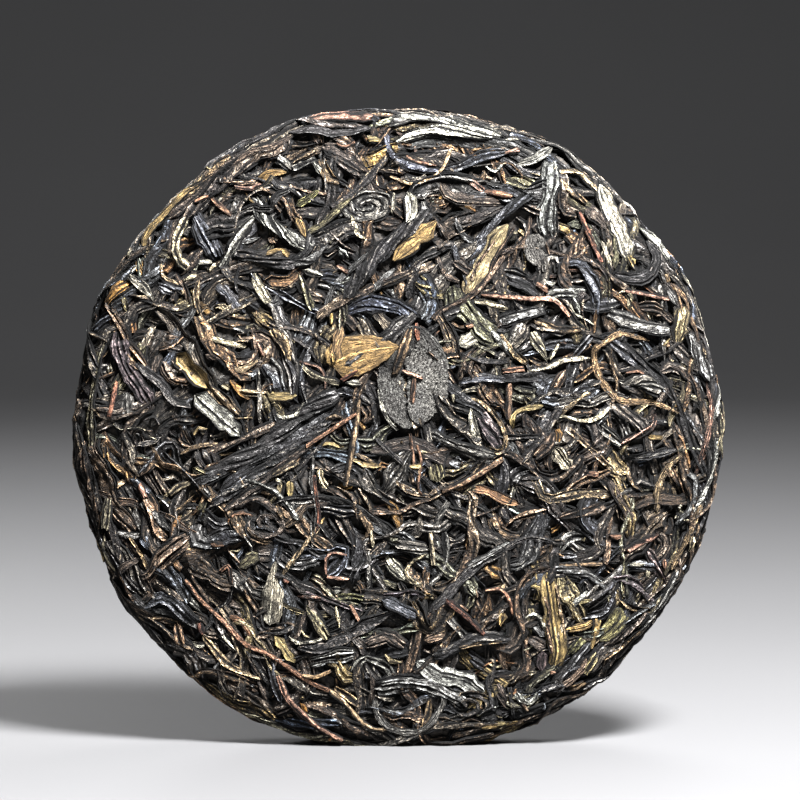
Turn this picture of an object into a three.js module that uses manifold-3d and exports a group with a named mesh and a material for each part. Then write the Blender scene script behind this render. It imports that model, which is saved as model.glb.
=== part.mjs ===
// A disc of raw pu-erh tea, pressed from whole dried leaves, standing on its edge.
// Millimetres, +Z up. The shown face looks towards -Y, and the middle of the flat
// spot that it stands on is the origin. One solid: a lumpy pressed bed with the
// largest leaves of both faces and of the rim fused on at their true size.
import * as THREE from 'three';
import { mergeVertices } from 'three/addons/utils/BufferGeometryUtils.js';
import Module from 'manifold-3d';

// Driving sizes of the pressed bed, below the leaves that lie on it
const BED_RADIUS = 99;
const EDGE_HALF_THICKNESS = 6.6;
const FRONT_DOME = 5.2; // how much thicker the middle is than the edge, on each side
const BACK_DOME = 4.2;
const SHOULDER_WIDTH = 9.5; // measured along the radius
const SHOULDER_SQUARENESS = 3.2; // exponent of the shoulder's curve: 2 is round
const HOLLOW_RADIUS = 27; // the hollow that the cloth's knot leaves in the back
const HOLLOW_DEPTH = 10.5;
const HOLLOW_EASE = 1.5; // exponent that rounds the hollow's mouth
const FLAT_SPOT_DEPTH = 1; // how far the edge is flattened where it stands
const FACE_RINGS = 5;
const BACK_RINGS = 4; // outside the hollow
const HOLLOW_RINGS = 3;
const SHOULDER_STEPS = 3;
const BED_SEGMENTS = 40;
const ARC_TABLE_STEPS = 600;

// The bed's lumps: waves in space, each with its height, its length and a direction
const LUMPS = [
  { height: 0.45, length: 64, way: [0.8, 0.3, 0.5], start: 0.4 },
  { height: 0.4, length: 47, way: [-0.5, 0.4, 0.75], start: 2.1 },
  { height: 0.35, length: 36, way: [0.2, -0.5, -0.85], start: 4.6 },
];

// The leaves: sizes are drawn between the two values of each pair
const LEAF_SIDES = 5;
const LEAF_STEP = 12; // of its length, between two of its rings
const LEAF_LENGTH = [30, 56];
const LEAF_WIDTH = [5, 8.4];
const LEAF_THICKNESS = [2.6, 3.6];
const LEAF_BEND = 0.9; // most turn, in radians, from one end to the other
const LEAF_RISE = [0.4, 0.9]; // of the leaf's middle over the bed
const TIP_WIDTH = 0.34; // share of the width that is left at the ends
const TIP_THICKNESS = 0.65; // and of the thickness
const TIP_SHARPNESS = 2.4; // exponent: the higher, the nearer the ends the taper starts
const FRONT_LEAVES = 40;
const BACK_LEAVES = 38;
const RIM_LEAVES = 18;
const FACE_REACH = 84; // furthest middle of a face's leaf from its pole
const HOLLOW_CLEAR = 23; // no leaf has its middle nearer the hollow's pole than this
const HOLLOW_ROUND = 44; // leaves nearer than this lie round the hollow, not across it
const RIM_SPREAD = 3.4; // how far a rim leaf's middle lies from the rim's midline
const RIM_SLANT = 0.16;
const RIM_RISE = 0.1;
const GOLDEN_ANGLE = Math.PI * (3 - Math.sqrt(5));
const SEED = 902;
const SHORTEST_EDGE = 0.35; // that is left where two leaves cross
const SAME_PLACE = 1e-3; // corners this close together are one

// The pieces that stand out on the shown face, by their middle (x across, z up,
// from the disc's centre), heading in degrees from +X, length, width, thickness
// and bend
const LANDMARKS = [
  { name: 'long strand', x: -42, z: -12, heading: 39, length: 74, width: 7, thick: 3, bend: 0.1 },
  { name: 'dark strip', x: -8, z: 55, heading: 38, length: 56, width: 5.4, thick: 2.8, bend: 0.2 },
  { name: 'olive leaf', x: 25, z: 46, heading: 54, length: 56, width: 5.4, thick: 2.8, bend: 0.25 },
  { name: 'golden leaf', x: -12, z: 23.5, heading: 8, length: 22, width: 12, thick: 2.4, bend: 0 },
  { name: 'centre leaf', x: 8, z: 13, heading: 62, length: 27, width: 15, thick: 2.4, bend: 0.2 },
  { name: 'long stem', x: -38, z: -74, heading: -46, length: 68, width: 2.8, thick: 2.6, bend: 0.5 },
  { name: 'foot stem', x: -29, z: -85, heading: -50, length: 30, width: 2.6, thick: 2.6, bend: 0.1 },
  { name: 'yellow leaf', x: 48, z: -58, heading: -80, length: 32, width: 6.4, thick: 2.6, bend: 0.15 },
  { name: 'dark bundle', x: 29, z: -40, heading: 26, length: 70, width: 6.4, thick: 3, bend: -0.4 },
  { name: 'pale leaf', x: 65, z: 61, heading: -56, length: 34, width: 5.4, thick: 2.8, bend: -0.2 },
  { name: 'left leaf', x: -81, z: 14, heading: -64, length: 40, width: 5.8, thick: 2.6, bend: 0.2 },
  { name: 'low leaf', x: -4, z: -66, heading: 24, length: 42, width: 8, thick: 2.6, bend: -0.2 },
];
const LANDMARK_RISE = 0.9;
const LANDMARK_CLEAR = 11; // a drawn leaf's middle stays this far from a landmark's

const wasm = await Module();
wasm.setup();

// Seeded random numbers from 0 to 1, the same on every run
function seededRandom(seed) {
  let state = seed >>> 0;
  return () => {
    state = (Math.imul(state, 1664525) + 1013904223) >>> 0;
    return state / 2 ** 32;
  };
}

// Half thickness of the bed at a radius, for one side
function halfThickness(radius, dome, hollow) {
  const start = BED_RADIUS - SHOULDER_WIDTH;
  const share = Math.min(1, Math.max(0, (radius - start) / SHOULDER_WIDTH));
  const shoulder = (1 - share ** SHOULDER_SQUARENESS) ** (1 / SHOULDER_SQUARENESS);
  const full = EDGE_HALF_THICKNESS + dome * (1 - (radius / BED_RADIUS) ** 2);
  const inHollow = Math.max(0, 1 - (radius / HOLLOW_RADIUS) ** 2);
  return full * shoulder - hollow * inHollow ** HOLLOW_EASE;
}

// Radii from the pole to the rim, closer together in the hollow and over the shoulder
function sideRadii(hollowRings, rings) {
  const start = BED_RADIUS - SHOULDER_WIDTH;
  const mouth = hollowRings ? HOLLOW_RADIUS : 0;
  const radii = Array.from({ length: hollowRings }, (_, i) => (mouth * i) / hollowRings);
  for (let i = 0; i <= rings; i += 1) radii.push(mouth + ((start - mouth) * i) / rings);
  for (let i = 1; i <= SHOULDER_STEPS; i += 1) {
    const angle = (i / SHOULDER_STEPS) * (Math.PI / 2);
    radii.push(start + SHOULDER_WIDTH * Math.sin(angle) ** (2 / SHOULDER_SQUARENESS));
  }
  return radii;
}

// The outline of half a section, from the front's pole over the rim to the back's
function sectionPoints() {
  const front = sideRadii(0, FACE_RINGS).map(
    (radius) => new THREE.Vector2(radius, -halfThickness(radius, FRONT_DOME, 0)),
  );
  const back = sideRadii(HOLLOW_RINGS, BACK_RINGS).map(
    (radius) => new THREE.Vector2(radius, halfThickness(radius, BACK_DOME, HOLLOW_DEPTH)),
  );
  back.pop(); // the rim's midline is the front's last point already
  return front.concat(back.reverse());
}

const section = sectionPoints();
const meridian = new THREE.SplineCurve(section);
meridian.arcLengthDivisions = ARC_TABLE_STEPS;
const meridianLength = meridian.getLength();

// How far the bed's lumps swell it at a point
function swellAt(point) {
  return LUMPS.reduce((sum, lump) => {
    const phase = point.dot(new THREE.Vector3(...lump.way)) / lump.length;
    return sum + lump.height * Math.sin(2 * Math.PI * phase + lump.start);
  }, 0);
}

// The point over a place (u across, v up) of a side's flattened map, raised off the bed.
// Distances from the side's pole are kept, so a face's map runs on over the rim.
function surfacePoint(u, v, side, rise) {
  const fromPole = Math.hypot(u, v);
  const along = side === 'front' ? fromPole : meridianLength - fromPole;
  const share = Math.min(1, Math.max(0, along / meridianLength));
  const point = meridian.getPointAt(share);
  const tangent = meridian.getTangentAt(share);
  const angle = Math.atan2(v, u);
  const [cosine, sine] = [Math.cos(angle), Math.sin(angle)];
  const onBed = new THREE.Vector3(point.x * cosine, point.y, point.x * sine);
  const outward = new THREE.Vector3(tangent.y * cosine, -tangent.x, tangent.y * sine);
  return onBed.addScaledVector(outward, rise + swellAt(onBed));
}

// A closed geometry as a solid: its shared vertices are merged, and the triangles
// that have no area, as at a lathe's poles, are left out
function solidOf(geometry) {
  const bare = geometry.clone();
  bare.deleteAttribute('normal');
  bare.deleteAttribute('uv');
  const merged = mergeVertices(bare, SAME_PLACE);
  const corners = [];
  for (let i = 0; i < merged.index.count; i += 3) {
    const [a, b, c] = [0, 1, 2].map((k) => merged.index.getX(i + k));
    if (a !== b && b !== c && c !== a) corners.push(a, b, c);
  }
  return new wasm.Manifold(
    new wasm.Mesh({
      numProp: 3,
      vertProperties: new Float32Array(merged.attributes.position.array),
      triVerts: new Uint32Array(corners),
    }),
  );
}

// The pressed bed: a lathe about Y, with its lumps
function bedGeometry() {
  const geometry = new THREE.LatheGeometry(section, BED_SEGMENTS);
  const position = geometry.attributes.position;
  const point = new THREE.Vector3();
  for (let i = 0; i < position.count; i += 1) {
    point.fromBufferAttribute(position, i);
    const swell = swellAt(point);
    const scale = 1 + swell / BED_RADIUS;
    position.setXYZ(i, point.x * scale, point.y + Math.sign(point.y) * swell, point.z * scale);
  }
  return geometry;
}

// One leaf that lies along an arc on a side's map. A cylinder's length is carried
// along the arc, and its section is flattened into a roof that tapers to both ends.
function leafGeometry(leaf) {
  const rings = Math.max(3, Math.round(leaf.length / LEAF_STEP));
  const geometry = new THREE.CylinderGeometry(1, 1, 1, LEAF_SIDES, rings);
  const position = geometry.attributes.position;
  // A map seen from outside is mirrored on one of the two sides
  const outward = leaf.side === 'front' ? -1 : 1;
  for (let i = 0; i < position.count; i += 1) {
    const share = position.getY(i); // from -0.5 to 0.5
    const heading = leaf.heading + leaf.bend * share;
    const middle = leaf.heading + (leaf.bend * share) / 2;
    const tip = (2 * Math.abs(share)) ** TIP_SHARPNESS;
    const width = leaf.width * THREE.MathUtils.lerp(1, TIP_WIDTH, tip);
    const thick = leaf.thick * THREE.MathUtils.lerp(1, TIP_THICKNESS, tip);
    const across = (outward * position.getX(i) * width) / 2;
    const up = (position.getZ(i) * thick) / 2;
    const u = leaf.u + leaf.length * share * Math.cos(middle) - across * Math.sin(heading);
    const v = leaf.v + leaf.length * share * Math.sin(middle) + across * Math.cos(heading);
    const point = surfacePoint(u, v, leaf.side, leaf.rise + up);
    position.setXYZ(i, point.x, point.y, point.z);
  }
  return geometry;
}

// Sizes and lie of a leaf that is drawn at random
function drawnLeaf(random, side, u, v, heading) {
  const between = ([low, high]) => low + (high - low) * random();
  return {
    side,
    u,
    v,
    heading,
    length: between(LEAF_LENGTH),
    width: between(LEAF_WIDTH),
    thick: between(LEAF_THICKNESS),
    bend: LEAF_BEND * (2 * random() - 1),
    rise: between(LEAF_RISE),
  };
}

function landmarkLeaves() {
  return LANDMARKS.map((mark) => ({
    side: 'front',
    u: mark.x,
    v: mark.z,
    heading: THREE.MathUtils.degToRad(mark.heading),
    length: mark.length,
    width: mark.width,
    thick: mark.thick,
    bend: mark.bend,
    rise: LANDMARK_RISE,
  }));
}

// A face's leaves lie every way, with their middles spread evenly by the golden angle
function faceLeaves(random, side, count, taken) {
  const leaves = [];
  for (let i = 0; i < count; i += 1) {
    const fromPole = FACE_REACH * Math.sqrt((i + 0.5) / count);
    const angle = i * GOLDEN_ANGLE;
    const [u, v] = [fromPole * Math.cos(angle), fromPole * Math.sin(angle)];
    const leaf = drawnLeaf(random, side, u, v, Math.PI * random());
    if (side === 'back' && fromPole < HOLLOW_ROUND) {
      leaf.heading = angle + Math.PI / 2;
      leaf.bend = leaf.length / fromPole;
    }
    const clear = taken.every((other) => Math.hypot(other.u - u, other.v - v) > LANDMARK_CLEAR);
    if (clear && (side === 'front' || fromPole > HOLLOW_CLEAR)) leaves.push(leaf);
  }
  return leaves;
}

// The rim's leaves were pressed round the edge, so they lie along it
function rimLeaves(random) {
  const leaves = [];
  for (let i = 0; i < RIM_LEAVES; i += 1) {
    const angle = (2 * Math.PI * i) / RIM_LEAVES;
    const fromPole = meridianLength / 2 + RIM_SPREAD * (2 * random() - 1);
    const heading = angle + Math.PI / 2 + RIM_SLANT * (2 * random() - 1);
    const [u, v] = [fromPole * Math.cos(angle), fromPole * Math.sin(angle)];
    const leaf = drawnLeaf(random, 'front', u, v, heading);
    // A leaf that lies along the edge follows its curve, pressed in deeper
    leaf.bend = leaf.length / BED_RADIUS;
    leaf.rise = RIM_RISE;
    leaves.push(leaf);
  }
  return leaves;
}

// The largest of the parts that a join leaves: scraps and sealed hollows are dropped
function largestPart(solid) {
  return solid
    .decompose()
    .reduce((best, part) => (part.volume() > best.volume() ? part : best));
}

function geometryOf(solid) {
  const mesh = solid.getMesh();
  const geometry = new THREE.BufferGeometry();
  const corners = new THREE.BufferAttribute(mesh.vertProperties, mesh.numProp);
  geometry.setAttribute('position', corners);
  geometry.setIndex(new THREE.BufferAttribute(mesh.triVerts, 1));
  geometry.computeVertexNormals();
  return geometry;
}

// Takes off what lies below the flat spot
function flattenedFoot(solid) {
  const size = 3 * BED_RADIUS;
  const under = new THREE.BoxGeometry(size, size, size);
  under.translate(0, 0, -BED_RADIUS + FLAT_SPOT_DEPTH - size / 2);
  return solid.subtract(solidOf(under));
}

function teaCakeSolid() {
  const random = seededRandom(SEED);
  const landmarks = landmarkLeaves();
  const leaves = [
    ...landmarks,
    ...faceLeaves(random, 'front', FRONT_LEAVES, landmarks),
    ...faceLeaves(random, 'back', BACK_LEAVES, []),
    ...rimLeaves(random),
  ];
  const joined = leaves.reduce(
    (whole, leaf) => whole.add(solidOf(leafGeometry(leaf))),
    solidOf(bedGeometry()),
  );
  return largestPart(flattenedFoot(joined));
}

// Moves a shape so that the middle of its foot is the origin
function standing(geometry) {
  geometry.computeBoundingBox();
  const box = geometry.boundingBox;
  return geometry.translate(
    -(box.min.x + box.max.x) / 2,
    -(box.min.y + box.max.y) / 2,
    -box.min.z,
  );
}

// Which triangles meet at each corner of a list of triangles
function trianglesAround(triangles, cornerCount) {
  const around = Array.from({ length: cornerCount }, () => new Set());
  triangles.forEach((ends, i) => ends.forEach((corner) => around[corner].add(i)));
  return around;
}

// Moves corner a onto corner b, which drops the two triangles that hold both. An edge
// whose ends share more than those two triangles' corners is left, because a
// narrow part of the shape would close there.
function mergeCorners(triangles, around, a, b) {
  const near = (corner) => new Set([...around[corner]].flatMap((i) => triangles[i]));
  const shared = [...near(a)].filter((corner) => near(b).has(corner));
  if (shared.length !== 4) return;
  for (const i of around[a]) {
    if (triangles[i].includes(b)) {
      triangles[i].filter((corner) => corner !== a).forEach((c) => around[c].delete(i));
      triangles[i] = [];
    } else {
      triangles[i] = triangles[i].map((corner) => (corner === a ? b : corner));
      around[b].add(i);
    }
  }
  around[a].clear();
}

// A join leaves very short edges where leaves just cross: the ends of each are merged
function withoutShortEdges(geometry) {
  const { index, attributes } = geometry;
  const points = Array.from({ length: attributes.position.count }, (_, i) =>
    new THREE.Vector3().fromBufferAttribute(attributes.position, i),
  );
  const triangles = Array.from({ length: index.count / 3 }, (_, i) =>
    [0, 1, 2].map((k) => index.getX(3 * i + k)),
  );
  const around = trianglesAround(triangles, points.length);
  for (let i = 0; i < triangles.length; i += 1) {
    for (let k = 0; k < 3 && triangles[i].length; k += 1) {
      const [a, b] = [triangles[i][k], triangles[i][(k + 1) % 3]];
      const short = points[a].distanceTo(points[b]) < SHORTEST_EDGE;
      if (short) mergeCorners(triangles, around, a, b);
    }
  }
  return geometry.clone().setIndex(triangles.flat());
}

const cleaned = withoutShortEdges(standing(geometryOf(teaCakeSolid())));
const teaCake = new THREE.Mesh(
  geometryOf(largestPart(solidOf(cleaned))),
  new THREE.MeshStandardMaterial({ color: 0x4a443d, roughness: 0.72, metalness: 0 }),
);
teaCake.name = 'tea_cake';

const puErhCake = new THREE.Group();
puErhCake.add(teaCake);

export default puErhCake;
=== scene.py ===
import math

import bpy
import numpy as np
from bpy.props import FloatProperty, FloatVectorProperty, IntProperty, PointerProperty
from bpy.types import Operator, Panel, PropertyGroup
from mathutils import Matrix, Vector


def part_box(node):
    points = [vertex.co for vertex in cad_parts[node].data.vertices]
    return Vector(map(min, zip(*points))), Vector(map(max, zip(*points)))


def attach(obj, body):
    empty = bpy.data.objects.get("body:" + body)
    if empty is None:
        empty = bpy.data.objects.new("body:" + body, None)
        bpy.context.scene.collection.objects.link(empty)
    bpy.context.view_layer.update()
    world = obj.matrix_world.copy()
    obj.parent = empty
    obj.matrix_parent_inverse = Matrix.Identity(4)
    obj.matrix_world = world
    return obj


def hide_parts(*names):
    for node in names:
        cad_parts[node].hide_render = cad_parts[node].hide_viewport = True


bl_info = {
    "name": "Pressed tea cake",
    "version": (1, 0, 0),
    "blender": (4, 5, 0),
    "location": "View3D > Sidebar > Tea Cake",
    "description": "Models a disc of tea pressed from whole dried leaves, standing on its edge",
    "category": "Object",
}

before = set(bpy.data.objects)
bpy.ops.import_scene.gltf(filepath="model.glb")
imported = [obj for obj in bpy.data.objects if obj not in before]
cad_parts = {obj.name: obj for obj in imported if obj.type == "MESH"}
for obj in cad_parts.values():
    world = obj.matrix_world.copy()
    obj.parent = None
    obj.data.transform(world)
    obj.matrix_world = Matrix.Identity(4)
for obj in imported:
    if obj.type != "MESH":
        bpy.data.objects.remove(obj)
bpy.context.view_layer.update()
NODE = "tea_cake"
NODE_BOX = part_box(NODE)
MM = 0.001
SIDES = ("front", "back")
SEED = 4111

# The pressed bed, in millimetres, as it lies inside the CAD node's box. The domes and the
# hollow are in the settings.
LEAF_RELIEF = 1.6  # how far the leaves stand out of the bed at the edge
TOP_RELIEF = 0.9
EDGE_HALF_THICKNESS = 6.6
SHOULDER_WIDTH = 9.5  # measured along the radius
SHOULDER_SQUARENESS = 3.2
HOLLOW_EASE = 1.5  # exponent that rounds the hollow's mouth
SIZE_DIGITS = 4  # to which a size from the settings is rounded
TABLE_STEPS = 1200  # places of the meridian's table
NORMAL_REACH = 0.8  # over which the bed's normals are averaged
LUMPS = (  # height, length, direction and start of each wave in the bed
    (0.45, 64.0, (0.8, 0.3, 0.5), 0.4),
    (0.40, 47.0, (-0.5, 0.4, 0.75), 2.1),
    (0.35, 36.0, (0.2, -0.5, -0.85), 4.6),
)
BED_WAVES = (14, 3, 9)  # count, shortest and longest of the waves that roughen the bed
BED_WAVE_HEIGHT, BED_GRIT, BED_SINK = 0.28, 0.15, 0.3

# From a height as it is seen to the height on the face, in millimetres
SEEN_RISE = 2.53
SEEN_SCALE = 0.985
SEEN_SQUEEZE = 0.000185

# How the leaves are laid, in millimetres
PATH_STEP = 0.5
RASTER_CELL = 0.5
RASTER_REACH = 128.0
SINK = 0.45  # share of its thickness that a leaf is pressed into those under it
PILE_CAP = 3.5  # the press lets no leaf lie higher than this over the bed
SHOWN_CAP = 4.1  # and no named piece higher than this
CAP_SOFTNESS = 0.4
LEAST_THICKNESS = 0.4
TRACKS = np.linspace(-0.8, 0.8, 5)  # across a leaf, where it feels those under it
REST_REACH, HIGH_REACH, TOP_REACH = 3.0, 2, 1.1
CLEARANCE = 0.12
WEAVE_MEAN, WEAVE_SWING = 0.55, 0.75  # of how far a leaf runs over those under it
CLIMB, WHOLE_CLIMB = 1.5, 4.0
DIVE_EASE = 1.4
LEAST_SEEN = 0.09  # leaves of which less than this share shows are left out
GAP_LEVEL = 0.75  # places lower than this over the bed get bits of broken leaf
CANDIDATES = 4  # paths drawn for each leaf, of which the lowest is taken
LIFTED_ENDS, LIFT = (0, 0, 0, 1, -1), (0.2, 1.0)  # of which one is drawn, and how far
WAVER, WAVER_LENGTH = (0.08, 0.5), (10, 26)  # how far a leaf turns from side to side
HOOK, KINK, KINK_SHARE, KINK_LENGTH = 0.8, 0.6, 0.45, (0.6, 2.5)
LENGTH_DRAW, WIDTH_DRAW, THREAD_DRAW = (1.8, 2.8), (1.8, 2.6), (1.4, 3)
LIE_TURN, LIE_SPREAD, EDGE_SPREAD, RIM_TURN_SPREAD = 2.4, 0.8, 0.45, 0.28
BROAD_SHARE = 0.27  # share of leaves that are shorter and broader
BROAD_LENGTH, BROAD_WIDTH = 0.8, 1.7  # what their sizes are multiplied by
RIM_WIDTH = 0.8  # what the widths of the rim's leaves are multiplied by
FACE_INSET = 9  # how far from the rim's midline a face's leaves have their middles
EDGE_LIE = (72, 16)  # from this far out, and over this width, leaves turn along the edge
RIM_SPREAD = 11  # how far the middle of a rim's leaf lies from the rim's midline
DIVE_SHARE = 0.7  # share of leaves' ends that run down between their neighbours
DIVE_DEPTH = (1.2, 2.6)
DIVE_REACH = (3.0, 9.0)
SHOWN_DIVE = 0.35  # what the dives of named pieces are multiplied by
BIT_LENGTH, BIT_WIDTH = (3, 9), (1.2, 3.0)
THREAD_LENGTH, THREAD_WIDTH = (5, 22), (0.5, 1.0)
SWEEP_LENGTH, SWEEP_WIDTH, SWEEP_REACH = (24, 58), (1.2, 2.3), 84
SWEEP_BEND, SWEEP_UNREST, RIM_UNREST = 1.2, 0.8, 0.45
CRUMB_LENGTH, CRUMB_WIDTH = (1.2, 2.8), (0.7, 1.7)
TURN_RANGE = 7  # radians, a little over a full turn

# How leaves of a kind differ: what their habit's values are multiplied by, and their ends
THICKNESS_SPREAD, RIDGE_SPREAD, LIGHT_SPREAD = (0.8, 1.2), (0.6, 1.3), (0.7, 1.35)
TWIST_LENGTH = 30  # over which a leaf has its habit's twist
BUNDLE_RIDGE, BUNDLE_TWIST, FLAT_RIDGE = 1.5, 0.3, 0.55
BLUNT_TIP, BLUNT_REACH = (0.55, 0.95), (0.2, 0.7)  # in widths of the leaf
FINE_TIP, FINE_REACH = (0.12, 0.35), (0.8, 1.8)
LONGEST_DIVE = 0.3  # as a share of its length
WEAVE_LENGTH, WEAVE_START = (16, 34), (0, 6)
WARMTH = (0.045, 0.1)  # mean and spread of how warm a leaf's colours are
LESS_BLUE = 1.3

LIE_WAVES = (5, 45, 110)  # count, shortest and longest of the waves of the common lie

# How many of each are laid, from the bed up
LOWER_LEAVES, LOWER_SCALE = 430, 0.75
LOWER_RIM, UPPER_RIM, RIM_SCALE = 180, 250, 1.2
UPPER_LEAVES, UPPER_SCALE = {"front": 330, "back": 360}, 1.05
BACK_PALE_LEAVES = 60
SWEEPS = {"front": 30, "back": 80}
LOWER_BITS, UPPER_BITS = 380, 60
LOWER_CRUMBS, UPPER_CRUMBS = 420, 150
THREADS = 40

# The forms of leaf: rolled, bundle, stem, thread, bit, crumb, blade, oval and stippled
WHOLE_FORMS = ("oval", "stippled")
FLAT_FORMS = ("blade", *WHOLE_FORMS)
DIVING_FORMS = ("rolled", "bundle", "blade")
FORM_THICKNESS = {  # as a share of the width
    "blade": 0.17, "oval": 0.07, "stippled": 0.09, "bundle": 0.3, "thread": 0.9, "bit": 0.5,
}
FORM_SIDES = {  # corners round a section
    "crumb": 6, "thread": 5, "bit": 8, "stem": 8, "oval": 34, "stippled": 46, "blade": 16,
    "bundle": 26,
}
EXTRA_RINGS = {"bit": -1, "oval": 6, "blade": 2, "bundle": 2}
CRUMB_RINGS = 3
RING_STEP, RING_WIDTH = (1.2, 2.2), 0.62  # from ring to ring, and as a share of the width
STIPPLE_STEP, STIPPLE_FOLD = 0.5, 0.5
RIDGE_HEIGHT, CREASE_DEPTH = (0.1, 1.0), (0.8, 1.9)
FOLD_HEIGHT = {"blade": 0.6, "oval": 0.25}
ROLL_SIDES, ROLL_SIDES_TO_MM = (8, 18), 1.9
SECTION_SQUARENESS = {"blade": 4.5, "oval": 7.0, "stippled": 7.0}
ROLL_SQUARENESS = (2.2, 3.4)
CREASE_SPACING = {"bundle": 4.0, "blade": 5.0, "oval": 6.0}  # corners from crease to crease
ROLL_CREASE_SPACING = 3.4
TAPERS = {"oval": (0.3, 0.75), "stippled": (0.4, 0.45)}  # exponents at the start and the end
WHOLE_TAPER, BLADE_TAPER, ROLL_TAPER = (0.06, 1.1), (0.15, 1.15), (0.08, 1.2)  # the limits
LOBES, SWELLS, RAGGED, WHOLE_RAGGED = 0.14, 0.16, 0.1, 0.04  # shares of the width
GRAIN_STRETCH = {"oval": (1.0, 1.2), "stippled": (2.5, 0.8)}  # along it and round it
ROLL_GRAIN_STRETCH = (1.0, 1.6)
FORM_CONTRAST = {"stippled": 0.46, "oval": 0.66, "blade": 0.85, "bundle": 0.9}

# The leaves' relief and shades
UPPER_SHARE = 0.74  # share of a section's corners that are on its upper side
TORN_SHARE = 0.55  # share of half its width by which a leaf's ends are torn
END_SHARE = 0.15
CRINKLE = 0.035  # share of its width by which a leaf's rings stand up and down
NARROW = 2.4  # leaves narrower than this have one margin at the most
MARGIN_RISE = 1.3  # how far a leaf's margin, which has a painted highlight, stands out, as a share of its ridge
# A painted highlight along the margin, and painted shade in the gap beside it
MARGIN_LIGHT = (1.3, 2.4)
UNDER_MARGIN = 0.25
MIDRIB_RISE, MIDRIB_LIGHT = 2.2, 1.8
BODY_RIDGE = 0.38  # ridge value of a leaf's body; creases have less, margins the most. Low ridge values get painted shade and high ones a painted highlight
END_RIDGE = 0.3
STIPPLE_RIDGE = 0.85
TINT_WAVES = (1, 7)  # radians of the wave between a leaf's two colours, along it
STRIPE_LIGHT, RING_LIGHT, STIPPLE_LIGHT = (0.7, 1.3), (0.8, 1.2), (0.72, 1.36)
OVAL_STRIPE = 0.4  # what the stripes of a whole leaf are multiplied by
FLANK_SHADE = 0.05  # painted shade: how light a leaf's flanks and underside are
FLANK_START, FLANK_RANGE = 0.35, 0.55  # heights over its middle where its flanks end
EDGE_SHADE = 0.3  # share of half a leaf's width that has painted shade at its edges
DEEPEST = 1.0  # painted shade: below the pile's mean height round it, where a leaf is darkest
DEPTH_RANGE = 1.1
DEEP_SHADE = 0.2
CREST_REACH = 9  # cells over which the mean height is taken
GRAIN_SHIFT = 400
SHARP_ANGLE = 22  # degrees between faces that aren't smoothed into one another

# The leaves' skin: cells of each noise, to a millimetre round a leaf and along it, or to a
# metre, and its detail and roughness
STREAK_NOISE = ((2.9, 0.5, 1), 3.0, 0.65)
SPECK_NOISE = ((3.4, 1.6, 1), 3.0, 0.7)
WAVE_NOISE = ((1.2, 0.34, 1), 2.0, 0.5)
CLOUD_NOISE = ((230, 230, 230), 3.0, 0.6)
# The two values of a noise or a ridge that the skin is darkest and lightest at, and how dark
# and how light it then is
STREAKS = (0.38, 0.62, 0.16, 2.25)
SPECKS = (0.4, 0.6, 0.36, 1.7)
CLOUDS = (0.35, 0.65, 0.6, 1.35)
CRACKS = (0.004, 0.045, 0.06, 1.0)
WAVES = (0.003, 0.055, 0.0, 1.0)
WRINKLES = (0.0, 0.7, 0.06, 1.0)
# CREASES: painted shade in the creases and painted highlight on the ridges, from the ridge value;
# PALE_RIDGES: where the painted highlight and bloom start
CREASES = (0.14, 0.75, 0.01, 1.5)
PALE_RIDGES = (0.35, 1.1)
MATT_RIDGES = (0.1, 0.42)
MATT, SATIN = 0.95, 0.36  # roughness of creases and of ridges
SKIN_RELIEF, SPECK_RELIEF, WRINKLE_RELIEF = 0.0005, 0.6, 0.5  # metres, and shares of it
BED_NOISE, BED_STOPS, BED_ROUGHNESS, BED_RELIEF = (900.0, 6.0), (0.38, 0.68), 0.9, 0.0004
# What each point of a leaf is marked with, and the socket that a material reads it from. The ridge
# value carries painted shade and highlight
MARKINGS = {"leaf_tint": "Color", "leaf_bloom": "Color", "ridge": "Fac", "contrast": "Fac"}
CRUMBS = "crumbs"

# The stage, in metres
LIGHTS = {  # place, and width and height
    "key": ((0.25, -0.33, 0.72), (0.22, 0.16)),
    "edge": ((0.3, 0.3, 0.85), (0.5, 0.3)),
    "fill": ((-0.75, -0.6, 0.4), (0.4, 0.4)),
    "rear": ((-0.45, 0.75, 0.6), (0.6, 0.4)),
}
SKY_COLOUR = (0.72, 0.74, 0.78, 1)
FLOOR_FRONT, FLOOR_BACK, FLOOR_SIDE = -3.0, 2.6, 5.0
FLOOR_BEND, WALL_HEIGHT = 1.2, 5.0
FLOOR_SHADE = 0.93  # the darker of the floor's two shades
FLOOR_NOISE, FLOOR_ROUGHNESS = (6.0, 2.0), 0.6
TARGET_SHIFT = (0.0009, 0, 0.01)  # from the disc's middle to where the camera looks
CLIP = (0.05, 50)
VIEW_ANGLE, ELEVATION = math.radians(14.24), math.radians(4.5)


# Noise and small helpers


def linear(red, green, blue):
    """A colour given as on a screen, from 0 to 255, as the linear values that a shader takes."""
    share = np.array([red, green, blue]) / 255.0
    return np.where(share <= 0.04045, share / 12.92, ((share + 0.055) / 1.055) ** 2.4)


def wave_field(rng, count, shortest, longest):
    """A smooth field over the plane, about -1 to 1, from waves of seeded directions."""
    length = rng.uniform(shortest, longest, count)
    angle = rng.uniform(0, 2 * math.pi, count)
    start = rng.uniform(0, 2 * math.pi, count)
    across, up = np.cos(angle) / length, np.sin(angle) / length

    def field(u, v):
        """The field's value at places of the plane."""
        phase = np.multiply.outer(u, across) + np.multiply.outer(v, up)
        return np.sin(2 * math.pi * phase + start).sum(-1) / math.sqrt(count)

    return field


def smoothed(values, reach, step=PATH_STEP):
    """Values along a path, averaged by a bell of that reach in millimetres."""
    half = max(1, int(round(2 * reach / step)))
    bell = np.exp(-0.5 * (np.arange(-half, half + 1) * step / reach) ** 2)
    padded = np.pad(values, half, mode="edge")
    return np.convolve(padded, bell / bell.sum(), mode="valid")


def highest_near(values, reach):
    """The highest value within a few places on either side."""
    padded = np.pad(values, reach, mode="edge")
    return np.lib.stride_tricks.sliding_window_view(padded, 2 * reach + 1).max(-1)


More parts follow.
